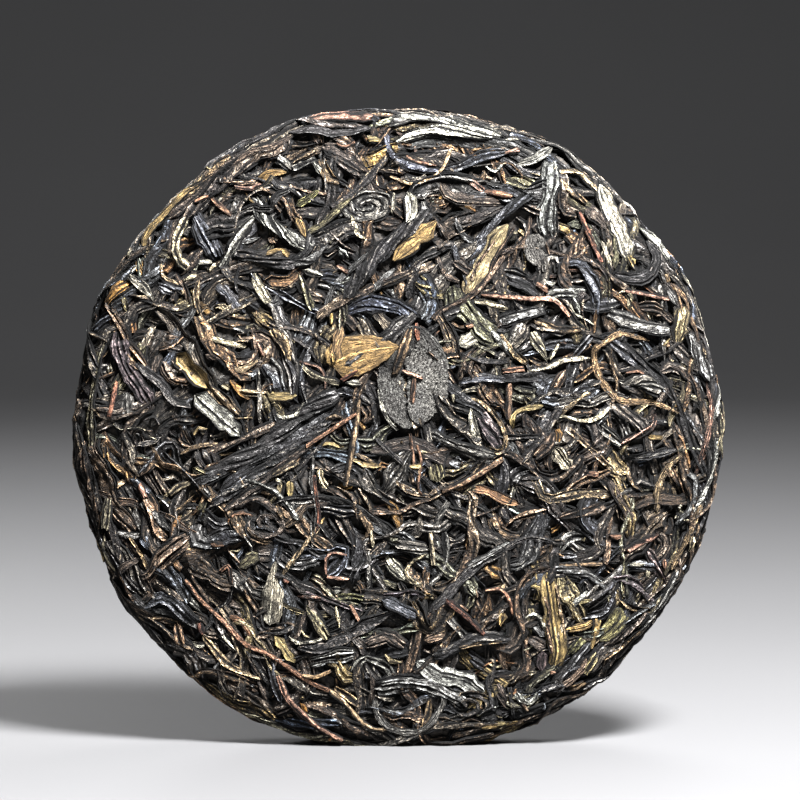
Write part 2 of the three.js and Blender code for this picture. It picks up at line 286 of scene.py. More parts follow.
def spline(points, step=PATH_STEP):
    """A smooth path through given points, with evenly spaced places."""
    knots = np.array(points, float)
    if len(knots) == 2:
        knots = np.array([knots[0], knots.mean(0), knots[1]])
    padded = np.vstack([2 * knots[0] - knots[1], knots, 2 * knots[-1] - knots[-2]])
    share = np.linspace(0, 1, 24, endpoint=False)[:, None]
    pieces = []
    for a, b, c, d in zip(padded, padded[1:], padded[2:], padded[3:]):
        bend = (2 * b, c - a, 2 * a - 5 * b + 4 * c - d, 3 * b - a - 3 * c + d)
        pieces.append(0.5 * sum(part * share**i for i, part in enumerate(bend)))
    path = np.vstack([*pieces, knots[-1:]])
    along = np.r_[0, np.hypot(*np.diff(path, axis=0).T).cumsum()]
    even = np.linspace(0, along[-1], max(4, int(along[-1] / step)))
    return np.column_stack([np.interp(even, along, path[:, i]) for i in (0, 1)])


# The cake's form


class Cake:
    """The pressed bed: a meridian turned about Y. Each side has a flattened map, on which the
    distance from its pole is kept, so that a face's map runs on over the rim. Millimetres."""

    def __init__(self, low, high, settings):
        names = ("front_dome", "back_dome", "hollow_radius", "hollow_depth")
        sizes = [round(getattr(settings, name) / MM, SIZE_DIGITS) for name in names]
        self.front_dome, self.back_dome, self.hollow_radius, self.hollow_depth = sizes
        self.radius = (high.x - low.x) / 2 / MM - LEAF_RELIEF
        self.middle_x = (high.x + low.x) / 2 / MM
        self.middle_y = (high.y + low.y) / 2 / MM + (self.front_dome - self.back_dome) / 2
        self.middle_z = high.z / MM - self.radius - TOP_RELIEF
        self._tabulate()

    def half_thickness(self, radius, dome, hollow):
        """Half the bed's thickness at a radius, for a side with that dome and hollow."""
        start = self.radius - SHOULDER_WIDTH
        share = np.clip((radius - start) / SHOULDER_WIDTH, 0, 1)
        shoulder = (1 - share**SHOULDER_SQUARENESS) ** (1 / SHOULDER_SQUARENESS)
        full = EDGE_HALF_THICKNESS + dome * (1 - (radius / self.radius) ** 2)
        in_hollow = np.clip(1 - (radius / self.hollow_radius) ** 2, 0, 1)
        return full * shoulder - hollow * in_hollow**HOLLOW_EASE

    def _tabulate(self):
        """Tables of the meridian's radius, depth and normal's two parts, from pole to pole."""
        start = self.radius - SHOULDER_WIDTH
        turn = np.linspace(0, math.pi / 2, 80)[1:]
        shoulder = start + SHOULDER_WIDTH * np.sin(turn) ** (2 / SHOULDER_SQUARENESS)
        radii = np.r_[np.linspace(0, start, 240), shoulder]
        front = -self.half_thickness(radii, self.front_dome, 0)
        back = self.half_thickness(radii, self.back_dome, self.hollow_depth)
        radius = np.r_[radii, radii[-2::-1]]
        depth = np.r_[front, back[-2::-1]]
        along = np.r_[0, np.hypot(np.diff(radius), np.diff(depth)).cumsum()]
        self.length = along[-1]
        self.along = np.linspace(0, self.length, TABLE_STEPS)
        radius, depth = (np.interp(self.along, along, values) for values in (radius, depth))
        across, inward = np.gradient(radius, self.along), np.gradient(depth, self.along)
        size = np.hypot(across, inward)
        step = self.length / TABLE_STEPS
        out = smoothed(inward / size, NORMAL_REACH, step)
        back = smoothed(-across / size, NORMAL_REACH, step)
        self.tables = (radius, depth, out, back)

    def seen_from_front(self, x, z):
        """The front map's place for a point of the face as it is seen, from the disc's centre.
        From a little above, the face's middle is seen lower than the middle of its outline."""
        z = SEEN_RISE + SEEN_SCALE * z - SEEN_SQUEEZE * z**2
        half = len(self.along) // 2
        seen = np.hypot(x, z)
        radii = self.tables[0][:half]
        reach = np.interp(np.minimum(seen, radii.max()), radii, self.along[:half])
        factor = np.where(seen > 0, reach / np.maximum(seen, 1e-9), 1)
        return x * factor, z * factor

    def meridian_place(self, side, u, v):
        """How far along the meridian a place of a side's map lies, and its turn."""
        from_pole = np.hypot(u, v)
        along = from_pole if side == "front" else self.length - from_pole
        return np.clip(along, 0, self.length), np.arctan2(v, u)

    def point_and_normal(self, side, u, v, height):
        """The point at a height over a place of a side's map, and the bed's normal there."""
        along, turn = self.meridian_place(side, u, v)
        radius, depth, out, back = (
            np.interp(along, self.along, table) for table in self.tables
        )
        cosine, sine = np.cos(turn), np.sin(turn)
        point = np.stack([radius * cosine, depth, radius * sine], -1)
        normal = np.stack([out * cosine, back, out * sine], -1)
        normal /= np.linalg.norm(normal, axis=-1, keepdims=True)
        swell = sum(
            size * np.sin(2 * math.pi * (point @ np.array(way)) / length + start)
            for size, length, way, start in LUMPS
        )
        return point + normal * (height + swell)[..., None], normal

    def in_frame(self, points):
        """Points as the CAD frame has them, in metres, flattened where they meet the table."""
        placed = points + np.array([self.middle_x, self.middle_y, self.middle_z])
        placed[..., 2] = np.maximum(placed[..., 2], 0)
        return placed * MM


# The kinds of leaf. Lengths and widths are ranges, thickness is a share of the width, and blades is
# the share of them that are flat instead of rolled. Their pale colours go on the ridges as bloom
# and painted highlight.

KINDS = {
    "charcoal_leaves": dict(
        slot="dark_leaf", share=0.2, length=(15, 62), width=(2.2, 5.5), thick=0.42,
        ridge=0.31, twist=0.5, bend=0.9, blunt=0.85, roll=0.24, blades=0.22,
        colours=((40, 39, 41), (30, 29, 30), (54, 51, 48), (40, 35, 32)),
        blooms_and_highlights=((170, 172, 176), (182, 172, 152), (150, 142, 130)),
    ),
    "slate_leaves": dict(
        slot="dark_leaf", share=0.21, length=(14, 54), width=(2.2, 5.4), thick=0.4,
        ridge=0.29, twist=0.6, bend=0.9, blunt=0.85, roll=0.24, blades=0.2,
        colours=((49, 51, 57), (70, 69, 68), (43, 44, 49), (86, 82, 76)),
        blooms_and_highlights=((170, 177, 187), (186, 188, 188), (176, 170, 158)),
    ),
    "umber_leaves": dict(
        slot="brown_leaf", share=0.2, length=(14, 56), width=(2.1, 5.3), thick=0.42,
        ridge=0.3, twist=0.6, bend=1.0, blunt=0.85, roll=0.24, blades=0.22,
        colours=((50, 43, 37), (62, 51, 42), (40, 36, 34), (70, 58, 46)),
        blooms_and_highlights=((162, 153, 141), (168, 163, 157), (150, 135, 117)),
    ),
    "brown_leaves": dict(
        slot="brown_leaf", share=0.15, length=(13, 52), width=(1.9, 4.8), thick=0.44,
        ridge=0.29, twist=0.8, bend=1.1, blunt=0.85, roll=0.24, blades=0.2,
        colours=((72, 57, 44), (88, 69, 50), (52, 42, 35), (80, 68, 54)),
        blooms_and_highlights=((166, 154, 137), (170, 162, 149), (154, 139, 120)),
    ),
    "olive_leaves": dict(
        slot="olive_leaf", share=0.11, length=(13, 50), width=(2.0, 5.2), thick=0.4,
        ridge=0.29, twist=0.6, bend=1.0, blunt=0.8, roll=0.26, blades=0.2,
        colours=((90, 85, 66), (82, 73, 50), (112, 105, 86), (66, 61, 46)),
        blooms_and_highlights=((168, 164, 144), (164, 161, 148), (174, 162, 134)),
    ),
    "golden_leaves": dict(
        slot="golden_leaf", share=0.03, length=(6, 20), width=(1.8, 4.8), thick=0.34,
        ridge=0.2, twist=0.25, bend=0.7, blunt=0.75, roll=0.24, blades=0.5,
        colours=((112, 86, 48), (98, 74, 42), (122, 98, 60), (92, 76, 44)),
        blooms_and_highlights=((182, 158, 114), (172, 144, 102)),
    ),
    "silver_buds": dict(
        slot="silver_bud", share=0.03, length=(5, 22), width=(1.4, 3.3), thick=0.5,
        ridge=0.17, twist=0.4, bend=0.9, blunt=0.5, roll=0.2, blades=0.1,
        colours=((172, 164, 140), (148, 142, 126), (188, 178, 150), (130, 125, 110)),
        blooms_and_highlights=((226, 220, 200), (214, 212, 204)),
    ),
    "stems": dict(
        slot="stem", share=0.025, length=(7, 34), width=(0.9, 1.7), thick=0.9,
        ridge=0.06, twist=0.2, bend=0.6, blunt=0.95, roll=0.1, blades=0.0,
        colours=((102, 72, 54), (88, 62, 48), (116, 90, 64), (96, 78, 62)),
        blooms_and_highlights=((184, 154, 124), (176, 154, 132)),
    ),
}
DARK, SLATE, BROWN, OLIVE = "charcoal_leaves", "slate_leaves", "brown_leaves", "olive_leaves"
UMBER, GOLD, BUD, STEM = "umber_leaves", "golden_leaves", "silver_buds", "stems"

# The colours that the pieces below have where light falls on them
TONES = {
    "white": (146, 144, 134), "cream": (144, 134, 110), "silver": (122, 121, 114),
    "grey": (90, 88, 84), "steel": (60, 63, 70), "navy": (42, 45, 56), "coal": (42, 41, 42),
    "plum": (70, 60, 62), "umber": (68, 58, 50), "brown": (86, 70, 57), "tan": (126, 106, 80),
    "ochre": (110, 91, 67), "gold": (112, 94, 60), "straw": (121, 109, 74), "khaki": (116, 105, 80),
    "olive": (90, 85, 64), "moss": (96, 92, 56), "orange": (105, 77, 60),
    "pink": (124, 94, 80), "red": (92, 56, 46), "stipple": (95, 95, 93),
    "shade": (82, 80, 75), "honey": (124, 100, 64),
}

# The pieces that stand out on the shown face: each one's colour, what it is, its kind, its
# width, and the places that it runs through, as x,z (across and up from the disc's centre).
# They are laid in this order.
STANDOUT_PIECES = (
    # Round the rim
    ("grey", "strip on the rim", SLATE, 4.0, "-3,96.5 4,97.5"),
    ("coal", "dark strand on the rim", DARK, 3.4, "-58,80 -50,86 -42,89 -31,95"),
    ("umber", "dark strand on the rim", DARK, 3.0, "-70,66 -62,73 -56,79 -46,86"),
    ("umber", "brown strand on the rim", UMBER, 2.4, "-52,81 -44,86 -38,88 -31,92"),
    ("gold", "golden strand on the rim", GOLD, 2.8, "-78,55 -75.5,61 -65,72.5 -59,77"),
    ("ochre", "orange strand on the rim", BROWN, 2.4, "-66,71 -60,76 -54,81 -50,84"),
    ("pink", "orange strip on the rim", STEM, 4.2, "-27,95 -18,96.8 -8,97.3"),
    ("coal", "long dark strand", DARK, 3.4, "-33,92 -26,93 -18,93 -8,94.6"),
    ("umber", "thin dark strand", DARK, 1.6, "-31,95 -22,94.7 -10,95.3"),
    ("shade", "grey leaf", SLATE, 4.5, "2,89 10,91 20,91 27,89"),
    ("white", "strip on the rim", BUD, 3.4, "0,98.2 9,97.8 18,95.8 32,91.8"),
    ("white", "second white strip", BUD, 4.2, "0,90.5 6,93 14,94 31,91.5"),
    ("silver", "pale strand on the rim", BUD, 2.0, "32,90.5 37,90"),
    ("grey", "strand on the rim", SLATE, 2.2, "40,90 48,86.5 56,81 62,76"),
    ("white", "cream strand on the rim", BUD, 3.6, "74,62 78,58 82,52"),
    ("cream", "strand on the rim", BUD, 2.0, "83,53 87,47 91,41"),
    ("silver", "grey strand on the rim", SLATE, 2.2, "93,33 96,22 98,13 97,2"),
    ("silver", "strand on the rim", BUD, 2.2, "86,47 92,36 95.5,25"),
    ("cream", "strand on the rim", BUD, 1.8, "98,14 98.6,2 97,-10"),
    ("pink", "strand on the rim", UMBER, 2.0, "95,14 96,4 94,-8 92,-16"),
    ("silver", "strand on the rim", SLATE, 2.4, "97,-4 96,-16 91,-29"),
    ("tan", "strand on the rim", OLIVE, 2.2, "94,-22 90,-34 85,-45"),
    ("cream", "strand on the rim", BUD, 1.6, "83,-52 77,-61 70,-69"),
    ("grey", "strand on the rim", SLATE, 2.4, "88,-43 82,-55 75,-64"),
    ("brown", "strand on the rim", BROWN, 1.8, "97,-12 96,-23 90,-30"),
    ("brown", "strand on the rim", UMBER, 2.0, "-96,-5 -96.5,-11 -92.8,-30"),
    ("cream", "strand on the rim", BUD, 1.6, "-91,-34 -90,-40 -87,-45.5"),
    # Upper left
    ("steel", "broad dark leaf", DARK, 7.1, "-62,67 -59,60.5 -55.5,54"),
    ("coal", "dark leaf", DARK, 3.2, "-50,55 -42,53 -31,51"),
    ("grey", "leaf", SLATE, 4.0, "-36,85 -33,82"),
    ("umber", "dark crumpled leaf", DARK, 5.0, "-22,89 -17,85 -12,80"),
    ("ochre", "crumpled leaf", BROWN, 4.0, "-23,84 -21,79 -18,77.5"),
    ("silver", "pale ribbed bud", BUD, 3.0, "-26,84.5 -23,80.5"),
    ("grey", "strand", SLATE, 2.4, "-25,85 -32,82"),
    ("brown", "strand", BROWN, 2.0, "-55,78 -48,77.5 -43,78"),
    ("honey", "bright gold leaf", GOLD, 3.0, "-43,77.5 -39,80.5 -34,80.8"),
    ("pink", "strand", STEM, 1.5, "-50,76 -45,75.5 -42,77"),
    ("orange", "stick", STEM, 1.9, "-57,72.5 -54,69.5 -51,67"),
    ("orange", "short orange piece", STEM, 1.6, "-62,71 -58,73"),
    ("cream", "curved strand", BUD, 2.8, "-65,66 -68,59 -67,53 -63,49.5"),
    ("white", "piece", BUD, 2.2, "-62,52 -57,52"),
    ("silver", "pale grey strand", SLATE, 3.4, "-44,66.5 -49,60 -52,54 -54,50.5"),
    ("silver", "leaf", SLATE, 4.0, "-44,72 -41,66.5 -35,61.5 -27,56.8"),
    ("grey", "leaf", SLATE, 2.6, "-48,58 -42,60"),
    ("gold", "small gold leaf", GOLD, 2.0, "-40,55 -36,56 -33,54.5"),
    ("brown", "orange brown leaf", BROWN, 3.0, "-39,73 -36,69"),
    ("tan", "loop", OLIVE, 1.8, "-73,51 -72,47 -68,45 -66,42"),
    ("cream", "strand", BUD, 2.0, "-62,48 -66,46"),
    ("tan", "pale strand", OLIVE, 2.2, "-61,47 -62,41 -61,36"),
    ("brown", "strand", BROWN, 1.6, "-68,48 -65,43 -64,36"),
    ("steel", "pointed leaf", SLATE, 4.4, "-56,46 -52,42 -47,36"),
    ("cream", "pale pinkish strand", BUD, 3.2, "-44,49.5 -43,45 -38.5,38"),
    ("cream", "strand on the rim", BUD, 1.6, "-81,55 -82,52"),
    ("silver", "pale curl", BUD, 3.2, "-82,47 -78,44 -75,40"),
    ("steel", "grey leaf", SLATE, 4.0, "-73,44 -67,43"),
    ("straw", "strand", OLIVE, 1.8, "-84,41 -83,36"),
    # Top middle
    ("coal", "large dark leaf", DARK, 5.2, "10,68 4,63 -2,58 -8,52 -16,41"),
    ("umber", "dark folded leaf", DARK, 4.4, "13,79 15,74 19,72 26,71.5 33,71"),
    ("umber", "dark blob", UMBER, 4.5, "18,53 22,49"),
    ("coal", "twisted dark strand", DARK, 2.8, "-3,87 -6,82.5 -14,73.5 -20,69.5"),
    ("olive", "pale olive strand", OLIVE, 2.2, "-14,72.5 -19,68 -23,64 -28,61"),
    ("brown", "lines", BROWN, 1.4, "-33,76.5 -26,74.5 -18,74"),
    ("moss", "olive gold leaf", OLIVE, 2.6, "-31,70 -27,72.5 -24,75"),
    ("gold", "leaf", GOLD, 2.6, "-31,67 -28,60"),
    ("silver", "pale leaf", BUD, 1.8, "-1,74 -1,67"),
    ("silver", "pale grey leaf", BUD, 4.6, "3.5,74.5 4.2,68 3,64.5"),
    ("grey", "bud", SLATE, 3.2, "8,71 8.5,68.5"),
    ("pink", "grey leaf", UMBER, 3.0, "22,78 26,75"),
    ("orange", "stem", STEM, 2.2, "27,74.5 30,74 35,73"),
    ("navy", "strand", SLATE, 3.0, "-3.5,94 -2.5,88 1,84 8,81.5 14,81"),
    ("steel", "blue strand", SLATE, 3.0, "14,81 20,83 26,86 33,87"),
    ("tan", "curved ochre stem", STEM, 1.2, "16.5,88 14,82 10,78.5 4,77 -2,79.5"),
    ("orange", "short orange stem", STEM, 1.3, "3,85.8 7,84 12,83"),
    ("orange", "small orange loop", STEM, 1.5, "-18.5,90 -16,89 -13,90.5"),
    ("straw", "pale gold chip", GOLD, 2.2, "-9,91.5 -5,91"),
    ("silver", "curved pale strand", BUD, 1.2, "27,83 30,81 33,84.5"),
    ("umber", "brown strand", BROWN, 4.2, "12,65 16,61"),
    ("gold", "flat gold leaf", GOLD, 6.0, "12,65 8,61 3,57 -1,52.5"),
    ("grey", "its grey stalk", SLATE, 2.2, "0,50.5 -4,47 -8,42"),
    ("coal", "dark strand", DARK, 3.0, "19,59 11,55.5 6,51 4,45 4,41"),
    ("umber", "brown arc", BROWN, 2.0, "12,54 15,48 19,46"),
    ("steel", "blue grey strand", SLATE, 3.4, "43,75 37,71 30,65 24,57"),
    ("khaki", "long olive leaf", GOLD, 6.8, "34,64 30,58 27,51 23,45 21,41"),
    ("brown", "its dark fold", UMBER, 1.3, "36,63 33,58 29.5,52 28,47 24,42"),
    ("brown", "its other fold", BROWN, 1.0, "31,61 28,56 24.5,51 23,46"),
    ("brown", "orange brown strand", BROWN, 2.0, "33,54 28,47 22,41 14,37 11,34"),
    ("grey", "curve", SLATE, 2.2, "18,66 20,61 24,58"),
    ("straw", "leaf", OLIVE, 3.2, "5,46 9,43 14,41.5"),
    ("straw", "strand", OLIVE, 1.6, "7,48 12,44"),
    ("grey", "strand", SLATE, 2.0, "-9,55 -13,51 -19,45 -22,38"),
    ("umber", "dark brown strand", UMBER, 1.8, "-20,62 -16,57 -13,55"),
    ("olive", "strand", OLIVE, 2.8, "-31,49 -28,42 -26,37"),
    ("grey", "curve", SLATE, 2.6, "-33,51.5 -26,53 -22,58"),
    ("silver", "pale strand", BUD, 1.6, "-33,58 -27,55.5"),
    ("white", "bud", BUD, 3.2, "-18,57 -16,54"),
    ("silver", "pale leaf", BUD, 3.2, "-29,49.5 -23,48"),
    ("orange", "tip", STEM, 1.8, "-18,51 -15,49"),
    ("cream", "forked strand", BUD, 1.6, "-14,67 -12,61 -9,59.5"),
    ("navy", "arched leaf", SLATE, 5.6, "-16,36 -9,39 0,38 5,35"),
    ("cream", "bud", BUD, 3.0, "23,40 28,39 34,37"),
    # Upper right
    ("coal", "broad dark leaf", DARK, 5.0, "33,49 38,46 43,42"),
    ("umber", "dark mottled leaf", DARK, 5.0, "58,70 62,66 66,62"),
    ("olive", "dark leaf", OLIVE, 4.0, "33,78 42,77"),
    ("silver", "pale grey leaf", SLATE, 3.0, "37,83 42,84.5 47,87"),
    ("pink", "grey strand", UMBER, 1.8, "33,86.5 38,87.5"),
    ("silver", "wide grey strip", SLATE, 5.8, "46.5,83 47,77 46.5,72 46,66 47,61"),
    ("brown", "red brown edge", BROWN, 2.0, "41,67 40,60 37,57 33,54"),
    ("grey", "flat grey leaf", SLATE, 7.6, "41.5,61 44,51"),
    ("brown", "patch", BROWN, 2.6, "45,58 47,54"),
    ("grey", "loop", SLATE, 1.8, "45,49 46,53 49,53 49,49"),
    ("tan", "strand", OLIVE, 2.6, "50,80.5 55,79.5 59,76 62,73"),
    ("ochre", "tan strand", BROWN, 2.2, "50,78 54,74 58,71"),
    ("grey", "strand", SLATE, 2.4, "70,71 75,66"),
    ("red", "stem", STEM, 1.8, "56,68 59,61 63,52"),
    ("olive", "grey strand", OLIVE, 2.2, "62,74 66,68 67.5,60 67,50"),
    ("silver", "pale strand", BUD, 1.8, "63,59 65,53 66,50"),
    ("coal", "big dark curve", DARK, 4.4, "76,58 79,53 78,48.5 73,46.5 67,48"),
    ("white", "bright bud", BUD, 6.2, "61.5,75.5 65,68 69,60 71,52.5"),
    ("straw", "its gold tip", GOLD, 3.2, "71,54.5 72.6,51"),
    ("ochre", "orange crinkle", BROWN, 2.4, "82,48 83,45"),
    ("steel", "dark grey curve", DARK, 4.0, "50,52.5 56,52 59,48 61,42 61,36"),
    ("umber", "dark brown curve", UMBER, 2.2, "57,53.5 62,51 66,46.5 71,44"),
    ("silver", "grey leaf", SLATE, 4.0, "46,41 50,42.5 58,42.5"),
    ("pink", "brown stem", STEM, 1.8, "26,42 40,40.5 48,40 53,35"),
    ("orange", "chip", STEM, 1.8, "43,45 46,43"),
    ("white", "chip", BUD, 1.8, "45,46 48,45"),
    ("silver", "pale leaf", BUD, 2.8, "54,41 56,36"),
    ("pink", "brown stem", STEM, 1.6, "70,43 76,42 84,40"),
    ("grey", "leaf", SLATE, 2.6, "83,43 86,38"),
    ("cream", "chip", BUD, 1.8, "71,41 71.5,37"),
    ("grey", "blue grey leaf", SLATE, 4.8, "65.5,36 72,33 78,31 84,30"),
    ("umber", "dark curl", UMBER, 3.0, "74,38 80,37.5 84.5,33"),
    ("grey", "leaf", SLATE, 4.4, "31,33 37,35 45,37"),
    ("steel", "dark leaf", DARK, 3.8, "65,28 70,23.5 74.5,19"),
    ("khaki", "olive leaf on the rim", OLIVE, 5.8, "87.6,38 87,32 86.4,25.5"),
    # Left
    ("plum", "broad dark leaf", DARK, 6.0, "-86,29.6 -84,20 -80,13.5 -76,7"),
    ("coal", "dark strand", DARK, 3.2, "-80,20 -76,16.5 -72,13 -69,8 -64,6.7"),
    ("umber", "brown leaf", UMBER, 3.4, "-73,23 -75,16.6"),
    ("cream", "piece", BUD, 2.4, "-88.8,20 -88.8,17"),
    ("red", "stem", STEM, 1.9, "-86.4,14 -87.6,8 -88.8,3"),
    ("tan", "loop", OLIVE, 1.4, "-95,4.3 -94,5.5 -91.6,3"),
    ("grey", "leaf", SLATE, 4.6, "-83.3,11 -83,2.5"),
    ("grey", "strand", SLATE, 2.6, "-84.5,-0.6 -81.7,-8.7 -83.6,-15"),
    ("ochre", "stub", BROWN, 2.2, "-90,-20.4 -84.8,-17.4"),
    ("cream", "ribbed leaf", BUD, 3.4, "-89.5,-23 -90.5,-32"),
    ("grey", "leaf", SLATE, 4.0, "-62,29 -64,22.8"),
    ("gold", "ragged gold leaf", GOLD, 6.2, "-67.5,22.8 -63,17.8 -58,12.3"),
    ("ochre", "its brown end", BROWN, 3.8, "-58,12 -51,6.7 -48.4,4.3"),
    ("silver", "leaf", OLIVE, 6.8, "-62,10.2 -56.5,5 -51,0 -48.4,-2.5"),
    ("cream", "bud at the left", BUD, 2.2, "-56.7,28 -52,26.5 -47,25.6"),
    ("umber", "dark brown strand", UMBER, 1.8, "-59,22.8 -54,21 -50,20.6"),
    ("tan", "curve", OLIVE, 3.2, "-51,19.4 -48,18.5 -43.4,21.2 -42.8,23"),
    ("brown", "arc", BROWN, 2.8, "-44.7,31 -43,26.5 -44,22 -47,20.6 -50,21"),
    ("brown", "red brown arc", BROWN, 1.6, "-73,24.6 -68.8,25.9 -65.7,28.3"),
    ("cream", "chip", BUD, 1.8, "-54,13.5 -51.5,12"),
    ("silver", "pale chip", BUD, 2.2, "-45.3,17.2 -45.6,14.8"),
    ("tan", "olive leaf", OLIVE, 2.4, "-49.6,11.3 -44.7,10.7 -40.3,10.4"),
    ("straw", "leaf", GOLD, 3.4, "-40.3,9.8 -36,9.5 -31,10"),
    ("grey", "upright grey stick", SLATE, 1.6, "-43,19 -42.5,10 -42.5,1.2"),
    ("tan", "stick", OLIVE, 1.2, "-50.2,3 -44.7,3"),
    ("ochre", "orange brown strand", BROWN, 2.0, "-67,-8.7 -62,-6.2 -54.5,-5"),
    ("ochre", "strand", GOLD, 1.8, "-60.7,-8 -54.5,-8.7 -50.2,-8"),
    ("coal", "lower twisted leaf", DARK, 4.0, "-30.5,-2 -39,-8 -48,-15 -54.5,-20"),
    ("coal", "strand of the bundle", DARK, 3.6, "-20,2 -30,-4 -38,-11 -58,-25"),
    ("umber", "strand of the bundle", UMBER, 3.2, "-24,-2 -32,-9 -42,-17 -53,-26"),
    ("umber", "strand of the bundle", UMBER, 3.0, "-24,7 -34,2.5 -44,-2 -60,-9"),
    ("coal", "strand of the bundle", DARK, 3.6, "-19,6 -29,-1 -38,-7 -63,-18"),
    ("coal", "long twisted leaf", DARK, 5.2, "-18.8,10.4 -30.5,3 -42,-6.5 -58,-15"),
    ("coal", "dark curve", DARK, 1.8, "-74,-2.5 -72,-8.7 -64.4,-15 -57.7,-21.4"),
    ("cream", "cut stem", STEM, 2.6, "-70.6,-21.4 -67.5,-18.9 -64,-17.7"),
    ("brown", "strand", BROWN, 1.6, "-79.3,-15 -75,-12"),
    ("ochre", "strand", BROWN, 1.8, "-69.4,-27.8 -65,-24 -62.6,-21.4"),
    ("pink", "orange chip", STEM, 2.2, "-79.6,-18 -78,-22.3"),
    ("grey", "leaf", SLATE, 2.6, "-79.3,-24 -73,-29.7 -69.4,-32.8"),
    ("olive", "leaf", OLIVE, 2.4, "-59.5,-23 -61.3,-27.8"),
    ("silver", "pale grey strand", SLATE, 1.8, "-47.8,-16.4 -42,-18 -36.7,-21 -30.5,-28.5"),
    ("umber", "dark brown arc", UMBER, 2.4, "-49.6,-25 -46.5,-23 -42,-22.6 -35,-28.5"),
    ("ochre", "arc", BROWN, 1.8, "-37.3,-24.8 -33.6,-29.7"),
    ("straw", "chip", GOLD, 2.4, "-33,-16.7 -33,-22.3"),
    ("tan", "strand", OLIVE, 2.0, "-38.5,-15 -34.2,-12.4 -30.5,-10.6"),
    ("orange", "curl", STEM, 1.4, "-51,-27.8 -48.4,-26.3 -44.7,-27.5"),
    ("olive", "leaf", OLIVE, 3.0, "-63.2,-13 -59,-15"),
    ("tan", "leaf", OLIVE, 3.6, "-38.5,30.8 -34.8,27 -33,21.5"),
    ("pink", "piece", STEM, 1.6, "-42.8,26.5 -41,22.8"),
    ("white", "curve", BUD, 1.4, "-38.5,5 -35.4,3 -31,4 -28.8,7.6"),
    # Centre
    ("shade", "stippled leaf, left part", SLATE, 8.4, "-1.5,25 -1.8,14 0.5,6 4,0"),
    ("stipple", "stippled leaf, right part", SLATE, 13.4, "2,31 7.5,24 9.6,14 6,1.5"),
    ("coal", "dark fold", DARK, 2.6, "-9.5,13.5 -7,8 -6.4,1.2"),
    ("silver", "pale edge", BUD, 1.3, "-5.8,12.3 -4.9,7.3 -2.7,2.4 0,-0.8"),
    ("plum", "dark plum leaf", DARK, 5.0, "26.3,3.7 30.6,-5.6"),
    ("grey", "broad grey leaf", SLATE, 4.4, "9.6,-2 16.4,-5 26.3,-8.7 30,-9.6"),
    ("honey", "large golden leaf", GOLD, 12.8, "-20,19.5 -15,22 -8,24 0.5,25.5"),
    ("ochre", "folded ochre leaf", GOLD, 3.6, "-16.9,32 -18.5,26.5 -19,19"),
    ("gold", "folded ochre leaf", GOLD, 3.2, "-21,25 -20,19.5"),
    ("red", "stem under it", STEM, 1.6, "-16.9,14.8 -12,18"),
    ("ochre", "leaning stem", STEM, 2.8, "4,30.8 1.6,23.4 -0.6,17"),
    ("red", "stub", STEM, 3.0, "5.9,32.7 6.5,27.4"),
    ("umber", "dark brown strand", UMBER, 2.2, "7.2,32 11.5,25 15.8,22"),
    ("brown", "red brown strand", UMBER, 2.2, "10.2,24.6 14,20 18.3,13.5"),
    ("orange", "upright stem", STEM, 2.0, "5.3,15.4 4.4,7.4"),
    ("pink", "short pink stem", STEM, 1.4, "1.6,17.8 7.8,15.4"),
    ("coal", "long dark strand", DARK, 2.2, "-8.3,-1.3 0.4,-10 7.8,-16 15,-23"),
    ("tan", "straight stem", STEM, 2.0, "-11.7,8.6 -13.2,-2.5 -16,-18"),
    ("orange", "stem", STEM, 1.5, "-12.6,4.3 -20,-0.7 -28,-6"),
    ("straw", "strand", GOLD, 1.4, "-24.3,-5.6 -20.6,-5 -15.7,-6.5"),
    ("ochre", "orange brown strand", BROWN, 2.0, "-13.2,-8 -7,-11"),
    ("coal", "dark stick", DARK, 1.6, "-33,29 -26.8,24.6 -23,18.5"),
    ("silver", "pale cluster", BUD, 3.0, "-16,14 -11.5,14"),
    ("cream", "pale bud", BUD, 2.4, "-30,20.3 -26,16.6 -18,13.8"),
    ("cream", "bud", BUD, 2.8, "-23.7,-12.4 -23.7,-16 -21.5,-19.5"),
    ("red", "reddish stem", STEM, 1.2, "-25.6,-15 -25,-21 -24,-28.5 -25,-33"),
    ("orange", "stem", STEM, 1.2, "4,-2 4.7,-7.5 5.3,-12.4"),
    ("orange", "thin orange stem", STEM, 1.0, "6.3,-5.6 7.5,-11 6.5,-18.6 7.8,-21"),
    ("gold", "chip", GOLD, 2.2, "4,-12.4 8,-12"),
    ("cream", "chip", BUD, 1.8, "7.2,-7.5 9.6,-8"),
    ("olive", "brown leaf", OLIVE, 4.8, "11.5,-11 12.7,-17"),
    ("brown", "leaning brown stem", STEM, 2.0, "32.5,-10 21.4,-16.7 14,-19.8"),
    ("orange", "leaf", GOLD, 3.0, "22,-19 27.5,-19.8 34,-23 38,-24"),
    ("white", "pale bud", BUD, 4.8, "18.9,26 22.6,27.7 26,30.5"),
    ("orange", "chip", STEM, 1.8, "21.4,31.7 23.2,32.3"),
    ("tan", "pale loop", OLIVE, 1.6, "21,10 26,8 31,2.4 33.4,-3 32,-7.5 27.5,-6"),
    ("white", "cream bud in the loop", BUD, 2.6, "22.6,6 23.2,1.8 24.4,-2.5 25.7,-3.8"),
    ("cream", "chip", BUD, 1.8, "17,11 17.3,8"),
    ("steel", "blue grey leaf", SLATE, 3.2, "19,14 26,15.4 34,14.8"),
    ("silver", "pale strand", BUD, 1.8, "19.5,11 25.7,12.3 29.4,10.8"),
    ("coal", "dark strand", DARK, 1.8, "20,23.4 26.3,21 34.3,20.6"),
    ("silver", "pale grey strand", SLATE, 2.2, "26.3,32.7 30.6,28.3 34.3,23.4"),
    ("brown", "strand", UMBER, 1.8, "-9.5,-26.6 0.4,-26.6 5.3,-24 11.5,-22.3"),
    ("grey", "arc", SLATE, 2.4, "15.8,-23.5 12.7,-29 12.7,-33.4"),
